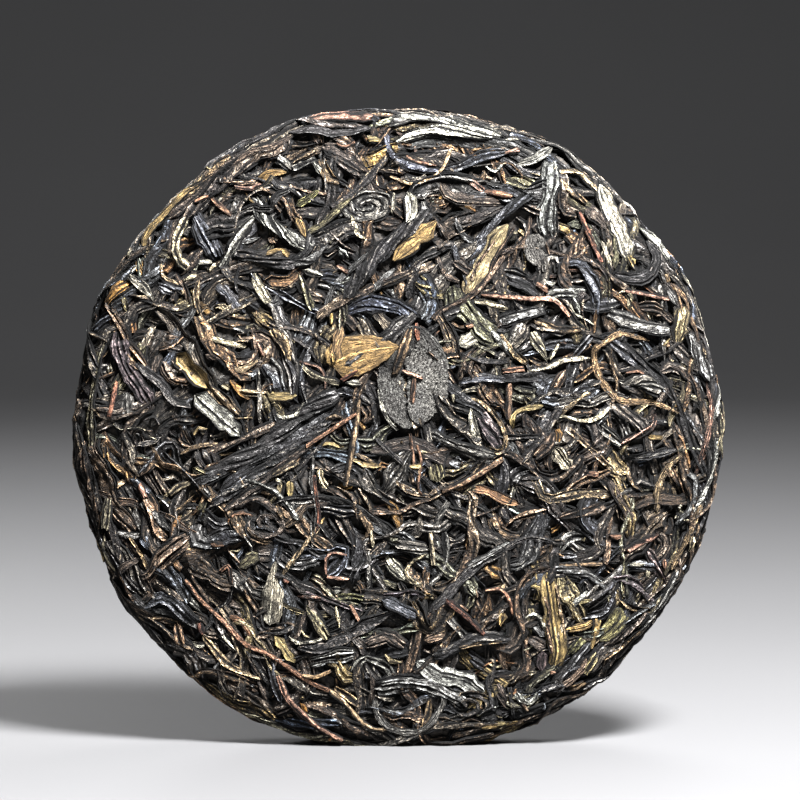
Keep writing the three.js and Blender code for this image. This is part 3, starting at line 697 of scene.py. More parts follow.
    ("white", "curl", BUD, 1.5, "0.4,-21 2.2,-23.5"),
    # Right
    ("coal", "dark strand", DARK, 2.6, "51.5,8 46.6,0 38.6,-11"),
    ("shade", "ribbed leaf", UMBER, 4.5, "70,13.5 75,14.8 80.6,11"),
    ("brown", "dark brown leaf", UMBER, 4.0, "52,17.8 48.5,12.3"),
    ("grey", "mottled leaf", SLATE, 4.0, "62.7,0 68.8,-5.6"),
    ("coal", "dark strand", DARK, 2.8, "70.7,-10 79,-9 87.3,-7"),
    ("umber", "dark strand", UMBER, 2.6, "65,-16 68.8,-23 73.8,-31"),
    ("steel", "dark grey leaf", SLATE, 3.0, "59.6,29.6 54.6,22"),
    ("brown", "orange brown leaf", BROWN, 3.4, "50.3,-27.8 57.7,-26.6 64,-24.8"),
    ("tan", "olive bundle", OLIVE, 3.6, "43,-16.7 46,-22.3 56.5,-21 66.4,-21.4"),
    ("silver", "leaf", BUD, 5.4, "48.5,-6.2 53.4,-13.6"),
    ("orange", "chip", STEM, 2.4, "59,-14.6 62,-15"),
    ("brown", "leaf", BROWN, 3.6, "47.8,-2 46.6,-5.6 43,-9.3"),
    ("ochre", "brown strand", BROWN, 2.0, "52.8,-0.7 59,-6.2 65,-11.8"),
    ("silver", "strand", BUD, 2.4, "40.4,18 47,19.4 52,21 60,21.5"),
    ("cream", "bud", BUD, 4.2, "42,29.6 43.5,26 46.3,20.6"),
    ("cream", "strand", BUD, 1.6, "49.7,26 47,21.5"),
    ("tan", "grey tan strand", OLIVE, 2.6, "31.8,29 35.5,23.4 39.8,20.3"),
    ("orange", "stub", STEM, 2.2, "32.4,17.8 39,18.3"),
    ("coal", "dark strand", DARK, 2.6, "31.8,15.7 44,16"),
    ("brown", "upright brown stem", STEM, 2.2, "34.6,14 34,2.4"),
    ("straw", "curve", GOLD, 1.8, "35.8,-0.7 35.5,3 38,5.5 45,6.7"),
    ("tan", "strand", OLIVE, 1.8, "50.3,4 53.4,6.7 60.2,11.7"),
    ("cream", "strand", BUD, 1.8, "49.4,1.2 51,3 56.5,1.8 61.4,2.4 65.7,6"),
    ("pink", "strand", UMBER, 2.0, "80,5 78.7,0 71.3,-3.8 68.8,-5"),
    ("gold", "chip", GOLD, 1.8, "77.5,-3.2 82.4,-3.5"),
    ("coal", "long dark strand", DARK, 2.8, "68.8,26 76,20 84,11.7 90.4,-5 95,-15"),
    ("umber", "dark curl", DARK, 3.6, "81,16.6 85,19 89,17"),
    ("grey", "leaf", SLATE, 4.2, "89.5,29 92.5,22 95.5,15"),
    ("ochre", "long ochre loop", BROWN, 2.3,
     "78,27 69,29.3 64.5,27 61,24 62,17 65.7,11 70,8 78.7,7.7 87,4.3"),
    ("ochre", "orange brown strand", BROWN, 2.2, "42.3,34 47,32 50.3,30.8 57.7,31"),
    ("orange", "small orange strand", STEM, 1.3, "70.7,17 74.4,17.8 76,16.6"),
    ("tan", "curve", OLIVE, 2.4, "89,-7.5 84,-12.4 80.6,-19.8 80.6,-27"),
    ("grey", "strand", SLATE, 2.2, "90,-15 92,-17 91,-25 86.7,-31"),
    ("ochre", "curly ochre strand", BROWN, 1.5, "71.3,-13 72.5,-17.4 76,-20.4"),
    # Lower left
    ("steel", "blue leaf", SLATE, 3.4, "-79,-34 -76,-39"),
    ("tan", "line", OLIVE, 1.3, "-84,-33.5 -78.4,-42 -76.5,-48.8"),
    ("brown", "broad brown leaf", BROWN, 6.0, "-77,-48 -72,-41 -65,-35"),
    ("umber", "bent brown strand", UMBER, 2.4, "-86,-46.5 -85,-44.5 -82,-42.6 -80,-42"),
    ("brown", "strand", BROWN, 1.6, "-86,-46.5 -83,-52 -80,-55.8"),
    ("umber", "brown strand", BROWN, 2.0, "-79.5,-45 -77,-50 -76.7,-53 -80,-55.7"),
    ("steel", "thick dark leaf", SLATE, 4.8, "-78,-56 -74,-53.7 -70,-55 -62.6,-61.7"),
    ("ochre", "thin ochre strand", BROWN, 1.2, "-76,-60 -73,-60 -68,-61.7"),
    ("brown", "leaf", BROWN, 3.0, "-68.5,-61.7 -67,-69"),
    ("olive", "leaf", OLIVE, 4.6, "-48.5,-43.8 -43,-39.5"),
    ("orange", "bits", STEM, 2.0, "-57,-36.4 -53.5,-36.6"),
    ("orange", "hook", STEM, 1.4, "-54.6,-45 -52,-43.4 -51.3,-49"),
    ("umber", "dark strand", UMBER, 2.0, "-46,-71.6 -43,-79 -40.4,-87"),
    ("coal", "dark strand", DARK, 2.6, "-39.2,-72.8 -38.6,-79 -36,-86.4"),
    ("coal", "dark arc", DARK, 2.0, "-43,-58 -42,-63 -36,-64.2 -32.4,-62.3"),
    ("silver", "piece", BUD, 2.6, "-66.4,-52.5 -63,-55.6 -60.8,-58"),
    ("silver", "strand", BUD, 2.2, "-55,-65.4 -50.3,-70.4"),
    ("tan", "strand", OLIVE, 2.6, "-60.8,-64.8 -57,-69.8 -52,-75.3 -43,-79"),
    ("red", "brown stub", STEM, 2.0, "-61.4,-61.7 -60.5,-64.8"),
    ("silver", "pale chip", BUD, 2.2, "-63.3,-68.2 -60.2,-68.5"),
    ("orange", "gold curl", GOLD, 2.4, "-52.8,-60 -49,-60.5 -46,-63.6 -44.8,-67.3"),
    ("brown", "second stem", STEM, 1.6, "-64,-46.6 -62,-50 -58.5,-55"),
    ("orange", "long stem", STEM, 1.7,
     "-65.7,-47.8 -60.8,-54.6 -54.6,-60.5 -47,-68 -39.8,-71 -32.4,-76 -26.8,-79.6 -20.6,-82.7"),
    ("tan", "its lower end", STEM, 1.8, "-21,-82.4 -15,-87.6 -11.4,-92 -7,-94.5 -3,-94.5"),
    ("pink", "reddish stem", STEM, 2.0, "-37,-78 -34,-84.6 -30,-89 -23.8,-93.8 -17,-97"),
    ("silver", "pointed leaf", BUD, 7.6, "-39.6,-62 -38.5,-52 -37.6,-42"),
    ("straw", "gold leaf", GOLD, 3.6, "-38,-65.4 -35,-69 -31.8,-73.5"),
    ("tan", "ochre stem", OLIVE, 1.8, "-24,-31 -26,-33.5 -31,-40 -36,-46.6"),
    ("red", "chip", STEM, 1.6, "-35,-47.4 -33.8,-48.4"),
    # Bottom
    ("olive", "dark pointed leaf", UMBER, 4.0, "-28,-55.6 -21.9,-65.4"),
    ("coal", "short dark leaf", DARK, 5.0, "-14,-31 -12,-39.5 -13.8,-49.4"),
    ("grey", "strand", SLATE, 2.0, "-9,-39 -8.6,-50.6"),
    ("umber", "large folded leaf", UMBER, 5.0, "-9.5,-68 -3.3,-65.4 1.6,-68"),
    ("coal", "long dark leaf", DARK, 4.4, "-31,-69 -20.6,-68 -9.5,-61.7 -1.5,-57.4"),
    ("shade", "broad grey leaf", SLATE, 5.6, "-28,-74 -20.6,-71.6 -12.6,-70.4"),
    ("ochre", "its orange edge", STEM, 1.5, "-29.3,-77.5 -25,-77.8 -20.6,-76"),
    ("steel", "thick dark leaf", DARK, 4.0, "-4.6,-53.7 1.6,-56.8 7.2,-59.3"),
    ("plum", "strand", UMBER, 1.8, "-4,-52.5 1.6,-52 5.3,-51.5 8.4,-53"),
    ("grey", "leaf", SLATE, 3.6, "15.8,-60 20.7,-65.4"),
    ("coal", "dark leaf", DARK, 4.0, "22.5,-70.4 27.5,-76.5"),
    ("brown", "curled leaf", BROWN, 4.0, "8.4,-66.7 14.6,-65"),
    ("shade", "mottled leaf", UMBER, 5.0, "0.4,-36.4 10.2,-39"),
    ("coal", "long dark strand", DARK, 3.4, "10,-57.4 15,-53 19.5,-48 25.7,-42.6 35,-37"),
    ("grey", "strand", SLATE, 2.6, "20,-44.5 27,-40.7 35,-35.8"),
    ("plum", "strand", UMBER, 1.6, "-33,-50 -26.8,-52 -20.6,-54.3 -10,-58"),
    ("pink", "plum strand", UMBER, 1.2, "-31,-53 -23.7,-53.4"),
    ("cream", "stick", BUD, 1.8, "-19,-55.6 -17.8,-62.3"),
    ("moss", "blade", OLIVE, 2.2, "-18.8,-53.4 -13.8,-53 -8.3,-54"),
    ("orange", "piece", STEM, 1.8, "-14.4,-55.6 -11.4,-61"),
    ("white", "chip", BUD, 2.2, "-20,-51.2 -17.6,-51"),
    ("cream", "chip", BUD, 1.6, "9.8,-53.2 11.4,-52.8"),
    ("pink", "loop", STEM, 1.2, "-21.9,-46 -21.9,-41.4 -19.7,-39.2 -15.7,-40"),
    ("pink", "piece", STEM, 1.6, "-21.5,-46.6 -15,-47.5"),
    ("cream", "strand", BUD, 2.0, "-8.3,-31 -7.6,-38.3"),
    ("grey", "half of the loop", SLATE, 2.0, "14.6,-33 15.2,-38.3 14.6,-43.2 12,-47.5 9.6,-49.7"),
    ("cream", "pale half of the loop", BUD, 1.5,
     "9,-40 4.7,-42.3 2.8,-45.7 5.3,-48.8 9.6,-49.9"),
    ("cream", "stick", STEM, 1.6, "10.2,-33 11.2,-43"),
    ("white", "chip", BUD, 1.6, "12,-34.6 13.4,-38.3"),
    ("white", "hook", BUD, 1.6, "-33.5,-65.5 -31,-67.3 -25,-66.7 -22,-65"),
    ("cream", "hook", BUD, 1.4, "-30,-62.4 -29,-64.8 -27,-65.6"),
    ("tan", "stub", OLIVE, 2.8, "-19.4,-81.5 -11.4,-87"),
    ("brown", "strand", BROWN, 2.2, "-28.6,-87 -23.7,-88.3 -18,-90.7 -14,-94 -9,-96"),
    ("umber", "brown upright strand", UMBER, 2.2, "-7.6,-75 -7.6,-81.5 -8.3,-87"),
    ("silver", "grey arch", SLATE, 3.2, "-13.8,-76 -10,-72 -5.8,-73.5 -3,-75.3 -2,-78.4 -6.4,-81"),
    ("grey", "lower crinkled leaf", SLATE, 6.0, "-5.8,-81.5 1.6,-80.2 10.2,-81 20,-85.8"),
    ("silver", "crinkled grey leaf", SLATE, 6.6, "5.9,-73.5 13.3,-77.8 20.7,-79.6 27.5,-84"),
    ("tan", "leaf in the loop", OLIVE, 2.2, "10.2,-85.2 9.6,-90 7.8,-93.8"),
    ("grey", "loop", SLATE, 2.4,
     "-7,-82 -6.4,-89 -3.3,-93.2 1,-95 6.5,-95 11.5,-91.4 14.6,-85.2 12,-82"),
    ("brown", "leaning brown leaf", BROWN, 2.6, "7.2,-63.6 5.3,-70.4 2.8,-77.2"),
    ("red", "stem", STEM, 2.4, "15.2,-53.7 20,-58 23.8,-61.7 27,-64.8"),
    ("coal", "dark leaf with a pale edge", DARK, 4.4, "11.5,-71.6 19.5,-68 26.3,-65.6 35,-66.7"),
    ("tan", "its pale edge", STEM, 1.4, "19.5,-69 25.7,-67.6 32.5,-67.2"),
    ("coal", "black curve", DARK, 2.2, "35,-77.5 30,-77.8 28.3,-80.2 30,-85.8 30.2,-89"),
    ("straw", "gold piece on the rim", GOLD, 3.0, "31,-93 34,-92.6"),
    # Lower right
    ("gold", "ochre leaf", GOLD, 4.2, "32.5,-55.5 32,-62"),
    ("orange", "arch", STEM, 1.8, "27.5,-51.2 31.9,-50.9 34.6,-54 35.6,-58.5"),
    ("steel", "dark square leaf", SLATE, 3.2, "51,-40.5 55.5,-40.5"),
    ("coal", "black strand", DARK, 2.0, "25.6,-42.6 31.8,-39 41,-34.6 50.3,-37"),
    ("grey", "leaf under the arc", SLATE, 4.2, "41.7,-61 46,-65.5"),
    ("umber", "crumpled leaf", UMBER, 4.0, "40.6,-66 46,-69"),
    ("plum", "leaf", UMBER, 3.4, "45.4,-70.4 44.8,-76.5"),
    ("grey", "strip", SLATE, 2.4, "48,-43.9 56.5,-45.4 59.6,-46.4 66.4,-52"),
    ("umber", "bundle", UMBER, 3.6, "31.8,-81 33.6,-88"),
    ("coal", "dark upright strand", DARK, 2.0, "35.2,-82 36.6,-91.5"),
    ("straw", "mottled leaf's branch", GOLD, 3.0, "41.4,-49.7 44.2,-50 45.5,-55"),
    ("straw", "mottled yellow leaf", GOLD, 7.2, "46,-45.7 47.2,-52 49,-64 50,-70 49,-76"),
    ("brown", "its brown fold", BROWN, 1.3, "44,-50.5 47,-57 46.8,-63 48,-71"),
    ("ochre", "its brown edge", BROWN, 1.1, "49,-49 50.5,-57 52,-64 51.5,-71"),
    ("gold", "leaf", GOLD, 2.6, "52.2,-63.6 59,-62.3 61.4,-60.5"),
    ("moss", "olive gold leaf", OLIVE, 3.2, "52.8,-71 57.7,-66.7"),
    ("coal", "dark strand", DARK, 3.0, "50.3,-79 55,-74 60,-68"),
    ("brown", "ochre leaf", BROWN, 2.8, "51,-81 55.6,-77.4 60.2,-71.6"),
    ("straw", "pale olive leaf", OLIVE, 2.8, "58.4,-76.6 61.6,-71"),
    ("moss", "olive leaf", OLIVE, 6.0, "70.6,-56.8 67.6,-62.3 63,-67"),
    ("umber", "strand", UMBER, 2.2, "62.7,-69.8 67.6,-66.7 73.8,-62.3 77.5,-58.6"),
    ("ochre", "strand", BROWN, 2.0, "64,-72.6 70,-68.3 75,-64"),
    ("silver", "blade", BUD, 2.0, "52.2,-58 55.2,-55 59,-51.2"),
    ("cream", "spot", BUD, 1.6, "51,-52.4 54,-51.5"),
    ("straw", "pale olive blade", OLIVE, 2.0, "56,-55.2 60.8,-54.3"),
    ("tan", "pale strand", OLIVE, 1.8, "68.2,-53.7 72.5,-56.8 79,-58"),
    ("plum", "dark curve", DARK, 2.6, "65.8,-47.5 71.3,-47.8 75,-50.6 80,-56"),
    ("silver", "bar", BUD, 2.2, "72,-43.5 77,-43.2"),
    ("cream", "upright piece", BUD, 1.6, "77.5,-48 78,-44.5"),
    ("plum", "strand", UMBER, 3.0, "77.5,-38.3 81.2,-45.7 83.6,-50"),
    ("orange", "piece", STEM, 1.8, "82.7,-42 83,-45"),
    ("umber", "rim curl", UMBER, 1.8, "87,-40.7 87.5,-46.3 84.3,-49.7"),
    ("cream", "piece on the rim", BUD, 2.6, "91,-34.6 90,-39.5"),
    ("pink", "stem", STEM, 2.2, "71.3,-39 75,-36.4 81,-34"),
    ("orange", "stub", STEM, 2.6, "65.6,-34 69,-34.5"),
    ("ochre", "stem", STEM, 1.4, "50.3,-43 56.5,-43 63.3,-43"),
    ("brown", "long brown strand", BROWN, 2.4,
     "47.2,-44 40.4,-46.6 37.3,-52 37.3,-58 39.5,-64.2 40,-70.4 40.4,-75.3 37.5,-79"),
    ("white", "arc", BUD, 1.4, "39.8,-60 42.3,-58.6 44.8,-60.5 46,-64.2"),
    ("cream", "bits", BUD, 1.6, "41,-77.5 43.5,-77"),
    ("orange", "chip", STEM, 1.6, "47.7,-77 49.3,-77"),
    ("white", "hook", BUD, 2.2, "36.4,-82.7 39.2,-85.8 42.3,-86 43.8,-83.3"),
    ("ochre", "brown piece on the rim", BROWN, 2.4, "53,-81.6 57.7,-79.4"),
)
BROADEST_ROLL = 5.3  # wider leaves than this are folded bundles
BROADEST_BUNDLE = 7.2  # and wider than this, whole and flat
BROAD_BLADE = 4.3  # named pale leaves wider than this are flat
THREAD_KINDS = (DARK, BROWN, BROWN, OLIVE, STEM, BUD)
PALE_KINDS = (OLIVE, OLIVE, BROWN, BROWN, BUD, GOLD, STEM)
SWEEP_KINDS = (DARK, DARK, SLATE, BROWN, OLIVE)
BIT_KINDS = (DARK, DARK, SLATE, SLATE, UMBER, UMBER, UMBER, BROWN, BROWN, BROWN, OLIVE, GOLD)

# Places where a coiled leaf was pressed: place, widest radius, turns, kind and colour
EDDIES = (
    (-9, 70, 8.2, 3.2, SLATE, "grey"),
    (-40, -30, 6.4, 1.6, UMBER, "umber"),
    (22, -87, 7.0, 1.8, DARK, "coal"),
)
EDDY_FLATNESS = 0.66
EDDY_CORE = 0.14  # share of its radius at which a coil starts
EDDY_STRAND = 0.29  # width of its strand as a share of its radius
TONE_SPREAD = (0.82, 1.15)
TONE_HOLD = 0.75  # share of the given colour in a piece's own colours
BLOOM_AND_HIGHLIGHT_LIFT = 2.6  # how much lighter than its colour a piece's bloom and painted highlight is
PALEST_BLOOM_AND_HIGHLIGHT = 0.6

# How the kinds take light, and how much pale bloom and painted highlight is on their ridges
BLOOM_AND_HIGHLIGHT_SHARE = {STEM: 0.25, GOLD: 0.3, BUD: 0.5}
USUAL_BLOOM_AND_HIGHLIGHT = 0.55
ROUGH_SKIN = {STEM: 0.75, GOLD: 0.65}


class Leaf:
    """One leaf, bud or stem: its kind, its path over a side's map, its sizes and its colours."""

    def __init__(self, kind, side, path, width, rng, form=None, lift=0.0, cap=PILE_CAP):
        habit = KINDS[kind]
        self.kind, self.side, self.path, self.width = kind, side, path, width
        self.form = form = form or self.drawn_form(rng)
        share = FORM_THICKNESS.get(form, habit["thick"])
        self.thick = max(LEAST_THICKNESS, width * share * rng.uniform(*THICKNESS_SPREAD))
        self.ridge = habit["ridge"] * rng.uniform(*RIDGE_SPREAD)
        length = len(path) * PATH_STEP
        self.twist = habit["twist"] * rng.normal() * length / TWIST_LENGTH
        if form == "bundle":
            self.ridge *= BUNDLE_RIDGE
            self.twist *= BUNDLE_TWIST
        if form in FLAT_FORMS:
            self.ridge *= FLAT_RIDGE
            self.twist = 0.0
        self.roll = habit["roll"] * rng.normal()
        blunt = rng.uniform(size=2) < habit["blunt"]
        self.tips = np.where(blunt, rng.uniform(*BLUNT_TIP, 2), rng.uniform(*FINE_TIP, 2))
        self.tip_reach = np.where(blunt, rng.uniform(*BLUNT_REACH, 2), rng.uniform(*FINE_REACH, 2))
        dives = rng.uniform(size=2) < (DIVE_SHARE if form in DIVING_FORMS else 0)
        self.dives = dives * rng.uniform(*DIVE_DEPTH, 2)
        self.dive_reach = np.minimum(rng.uniform(*DIVE_REACH, 2), LONGEST_DIVE * length)
        self.weave = (rng.uniform(*WEAVE_LENGTH), rng.uniform(*WEAVE_START))
        self.lift, self.cap = lift, cap
        self.seed = int(rng.integers(1 << 31))
        warmth = rng.normal(*WARMTH)
        shift = np.array([1 + warmth, 1.0, 1 - LESS_BLUE * warmth])
        self.bloom_and_highlight = linear(*habit["blooms_and_highlights"][rng.integers(len(habit["blooms_and_highlights"]))]) * shift
        picks = rng.integers(len(habit["colours"]), size=2)
        self.colours = [
            linear(*habit["colours"][pick]) * rng.uniform(*LIGHT_SPREAD) * shift for pick in picks
        ]

    def drawn_form(self, rng):
        """How a leaf is folded, from its kind and its width."""
        if self.width > BROADEST_BUNDLE:
            return "stippled" if self.kind in (DARK, SLATE) else "oval"
        if rng.uniform() < KINDS[self.kind]["blades"]:
            return "blade"
        if self.width > BROADEST_ROLL:
            return "bundle"
        return "stem" if self.kind == STEM else "rolled"


class Pile:
    """Lays leaves one on another over the two sides' maps, and knows how high the pile is."""

    def __init__(self, cake):
        self.cake = cake
        self.cells = int(2 * RASTER_REACH / RASTER_CELL)
        self.height = {side: np.zeros(self.cells**2) for side in SIDES}
        self.top_leaf = {side: np.full(self.cells**2, -1, np.int32) for side in SIDES}
        self.leaves = []

    def cell(self, u, v):
        """The number of the raster's cell at a place of a side's map."""
        column = np.clip((u + RASTER_REACH) / RASTER_CELL, 0, self.cells - 1).astype(int)
        row = np.clip((v + RASTER_REACH) / RASTER_CELL, 0, self.cells - 1).astype(int)
        return row * self.cells + column

    @staticmethod
    def strip(leaf, tracks):
        """Places across a leaf: tracks from -1 to 1, side by side along its path."""
        heading = np.gradient(leaf.path, axis=0)
        heading /= np.maximum(np.linalg.norm(heading, axis=1, keepdims=True), 1e-9)
        aside = np.column_stack([-heading[:, 1], heading[:, 0]])
        return leaf.path[:, None] + aside[:, None] * (tracks * leaf.width / 2)[:, None]

    def level_under(self, side, path):
        """Mean height of the pile along a path."""
        return self.height[side][self.cell(path[:, 0], path[:, 1])].mean()

    def lay(self, leaf):
        """Rests a leaf on those under it, and bends and presses it as they need."""
        strip = self.strip(leaf, TRACKS)
        under = self.height[leaf.side][self.cell(strip[..., 0], strip[..., 1])]
        bed = smoothed(under.mean(1), REST_REACH)
        top = bed + leaf.thick * (1 - SINK)
        over = highest_near(under.max(1), HIGH_REACH) + CLEARANCE
        # A leaf runs over some of those under it and through between others
        along = np.arange(len(top)) * PATH_STEP
        riding = 1.0
        if leaf.weave:
            wave, start = leaf.weave
            turn = 2 * math.pi * along / wave + start
            riding = np.clip(WEAVE_MEAN + WEAVE_SWING * np.sin(turn), 0, 1)
        most = WHOLE_CLIMB if leaf.form in WHOLE_FORMS else CLIMB
        top += riding * np.clip(over - top, 0, most)
        top = smoothed(top, TOP_REACH)
        top = leaf.cap - CAP_SOFTNESS * np.log1p(np.exp((leaf.cap - top) / CAP_SOFTNESS))
        share = np.linspace(0, 1, len(top))
        top += max(leaf.lift, 0) * share**4 + max(-leaf.lift, 0) * (1 - share) ** 4
        for depth, reach, away in zip(leaf.dives, leaf.dive_reach, (along, along[::-1])):
            top -= depth * np.clip(1 - away / reach, 0, 1) ** DIVE_EASE
        leaf.top = top
        self.stamp(leaf)
        return leaf

    def stamp(self, leaf):
        """Marks a laid leaf in both sides' rasters wherever it is the highest."""
        number = len(self.leaves)
        self.leaves.append(leaf)
        tracks = np.linspace(-1, 1, max(5, int(leaf.width / RASTER_CELL * 1.6)) | 1)
        strip = self.strip(leaf, tracks)
        fall = (1 - (1 - np.abs(tracks) ** 3) ** (1 / 3)) * leaf.thick / 2
        value = (leaf.top[:, None] - fall).ravel()
        along, turn = self.cake.meridian_place(leaf.side, strip[..., 0], strip[..., 1])
        order = np.argsort(value)
        for side in SIDES:
            from_pole = along if side == "front" else self.cake.length - along
            inside = (from_pole < RASTER_REACH - 1).ravel()[order]
            place = self.cell(from_pole * np.cos(turn), from_pole * np.sin(turn)).ravel()
            place, level = place[order][inside], value[order][inside]
            upper = level > self.height[side][place]
            self.height[side][place[upper]] = level[upper]
            self.top_leaf[side][place[upper]] = number

    def level_out(self):
        """The pile's mean height round each place, once all its leaves are laid."""
        self.crest = {}
        for side, height in self.height.items():
            grid = np.pad(height.reshape(self.cells, self.cells), CREST_REACH // 2, mode="edge")
            window = (CREST_REACH, CREST_REACH)
            around = np.lib.stride_tricks.sliding_window_view(grid, window)
            self.crest[side] = around.mean((-1, -2)).ravel()

    def seen_leaves(self):
        """The leaves that show, after all are laid."""
        seen = np.zeros(len(self.leaves))
        area = RASTER_CELL**2
        for side in SIDES:
            grid = self.top_leaf[side]
            seen += np.bincount(grid[grid >= 0], minlength=len(self.leaves)) * area
        full = np.array([leaf.width * len(leaf.path) * PATH_STEP for leaf in self.leaves])
        return [leaf for leaf, share in zip(self.leaves, seen / full) if share > LEAST_SEEN]


def wander(rng, place, heading, length, bend, unrest=1.0):
    """A drawn leaf's path: an arc through a place that wavers, and often has a kink."""
    count = max(3, int(length / PATH_STEP))
    share = np.linspace(-0.5, 0.5, count)
    along = share * length
    waver = rng.uniform(*WAVER) * np.sin(
        2 * math.pi * (along / rng.uniform(*WAVER_LENGTH) + rng.uniform())
    )
    hook = rng.normal() * HOOK * np.clip(np.abs(share) * 2 - 0.6, 0, 1) * np.sign(share)
    kink = rng.normal() * KINK * (rng.uniform() < KINK_SHARE)
    from_kink = along - length * rng.uniform(-0.35, 0.35)
    kink = kink * np.tanh(from_kink / rng.uniform(*KINK_LENGTH))
    turn = heading + bend * share + unrest * (waver + hook + kink)
    path = np.column_stack([np.cos(turn), np.sin(turn)]).cumsum(0) * (length / count)
    return path - path[count // 2] + np.array(place)


def drawn_kind(rng):
    """A kind of leaf, as often as its share says."""
    names = list(KINDS)
    weights = np.array([KINDS[name]["share"] for name in names])
    return names[rng.choice(len(names), p=weights / weights.sum())]


def drawn_sizes(rng, kind, scale):
    """A length and a width from a kind's ranges."""
    habit = KINDS[kind]
    low, high = habit["length"]
    length = low + (high - low) * rng.beta(*LENGTH_DRAW)
    low, high = habit["width"]
    width = low + (high - low) * rng.beta(*WIDTH_DRAW)
    return length * scale, width


def drawn_path(pile, rng, kind, length, lie):
    """A path on a face: along the common lie for some leaves, and along the edge near it."""
    reach = pile.cake.length / 2 - FACE_INSET
    from_pole, turn = reach * math.sqrt(rng.uniform()), rng.uniform(0, 2 * math.pi)
    place = (from_pole * math.cos(turn), from_pole * math.sin(turn))
    heading = LIE_TURN * float(lie(*place)) + rng.normal() * LIE_SPREAD
    bend = KINDS[kind]["bend"] * rng.normal()
    start, width = EDGE_LIE
    if rng.uniform() < np.clip((from_pole - start) / width, 0, 1):
        heading = turn + math.pi / 2 + rng.normal() * EDGE_SPREAD
        bend = length / max(from_pole, 40) * rng.uniform(0.6, 1.1)
    return wander(rng, place, heading, length, bend)


def lay_face(pile, rng, side, count, scale, lie, kinds=None):
    """Leaves over a face. Of a few paths drawn for each, it takes the one that lies lowest."""
    for _ in range(count):
        kind = kinds[rng.integers(len(kinds))] if kinds else drawn_kind(rng)
        length, width = drawn_sizes(rng, kind, scale)
        if rng.uniform() < BROAD_SHARE:
            length, width = length * BROAD_LENGTH, min(BROADEST_BUNDLE, width * BROAD_WIDTH)
        paths = [drawn_path(pile, rng, kind, length, lie) for _ in range(CANDIDATES)]
        path = min(paths, key=lambda drawn: pile.level_under(side, drawn))
        lift = rng.choice(LIFTED_ENDS) * rng.uniform(*LIFT)
        pile.lay(Leaf(kind, side, path, width, rng, lift=lift))


def rim_path(pile, rng, length):
    """A path along the rim, on the front's map."""
    middle = pile.cake.length / 2
    from_pole = middle + rng.uniform(-RIM_SPREAD, RIM_SPREAD)
    turn = rng.uniform(0, 2 * math.pi)
    place = (from_pole * math.cos(turn), from_pole * math.sin(turn))
    heading = turn + math.pi / 2 + rng.normal() * RIM_TURN_SPREAD
    bend = length / from_pole * rng.uniform(0.7, 1.1)
    return wander(rng, place, heading, length, bend, RIM_UNREST)


def lay_rim(pile, rng, count, scale):
    """Leaves that were pressed round the edge, along it."""
    for _ in range(count):
        kind = drawn_kind(rng)
        length, width = drawn_sizes(rng, kind, scale)
        width *= RIM_WIDTH
        paths = [rim_path(pile, rng, length) for _ in range(CANDIDATES)]
        path = min(paths, key=lambda drawn: pile.level_under("front", drawn))
        side = "front"
        if np.hypot(*path[len(path) // 2]) > pile.cake.length / 2:
            side = "back"
            away = pile.cake.length - np.hypot(*path.T)
            angle = np.arctan2(path[:, 1], path[:, 0])
            path = np.column_stack([away * np.cos(angle), away * np.sin(angle)])
        pile.lay(Leaf(kind, side, path, width, rng))


def lay_standouts(pile, rng):
    """The coiled leaves and the named pieces of the shown face."""
    for x, z, radius, turns, kind, tone in EDDIES:
        turn = rng.uniform(0, 6) + np.linspace(0, 2 * math.pi * turns, int(10 * turns))
        reach = radius * np.linspace(1, EDDY_CORE, len(turn))
        reach = reach * (1 + 0.06 * rng.normal(size=len(turn)))
        up = EDDY_FLATNESS * reach * np.sin(turn)
        places = np.column_stack([x + reach * np.cos(turn), z + up])
        lay_shown(pile, rng, kind, tone, radius * EDDY_STRAND, places)
    for tone, _, kind, width, track in STANDOUT_PIECES:
        places = [[float(number) for number in place.split(",")] for place in track.split()]
        lay_shown(pile, rng, kind, tone, width, places)


def lay_shown(pile, rng, kind, tone, width, places):
    """One piece of the shown face, through its places, in its own colour."""
    x, z = spline(places).T
    path = np.column_stack(pile.cake.seen_from_front(x, z))
    flat = kind in (GOLD, OLIVE, BUD) and BROAD_BLADE < width <= BROADEST_BUNDLE
    form = "blade" if flat else None
    leaf = Leaf(kind, "front", path, width, rng, form, cap=SHOWN_CAP)
    leaf.weave = None
    leaf.dives *= SHOWN_DIVE
    shown = linear(*TONES[tone])
    leaf.colours = [
        shown * TONE_HOLD * spread + own * (1 - TONE_HOLD)
        for spread, own in zip(TONE_SPREAD, leaf.colours)
    ]
    leaf.bloom_and_highlight = np.minimum(PALEST_BLOOM_AND_HIGHLIGHT, (shown * BLOOM_AND_HIGHLIGHT_LIFT + leaf.bloom_and_highlight) / 2)
    pile.lay(leaf)


def lay_bits(pile, rng, side, count):
    """Bits of broken leaf in the gaps of the pile."""
    cells = np.flatnonzero(pile.height[side] < GAP_LEVEL)
    u = (cells % pile.cells + 0.5) * RASTER_CELL - RASTER_REACH
    v = (cells // pile.cells + 0.5) * RASTER_CELL - RASTER_REACH
    inside = np.hypot(u, v) < pile.cake.length / 2
    u, v = u[inside], v[inside]
    for _ in range(count):
        pick = rng.integers(len(u))
        kind = BIT_KINDS[rng.integers(len(BIT_KINDS))]
        length, width = rng.uniform(*BIT_LENGTH), rng.uniform(*BIT_WIDTH)
        path = wander(rng, (u[pick], v[pick]), rng.uniform(0, math.pi), length, rng.normal())
        pile.lay(Leaf(kind, side, path, width, rng, form="bit"))


def drawn_place(rng, reach):
    """A place of a side's map, drawn evenly over a disc."""
    from_pole, turn = reach * math.sqrt(rng.uniform()), rng.uniform(0, TURN_RANGE)
    return from_pole * math.cos(turn), from_pole * math.sin(turn)


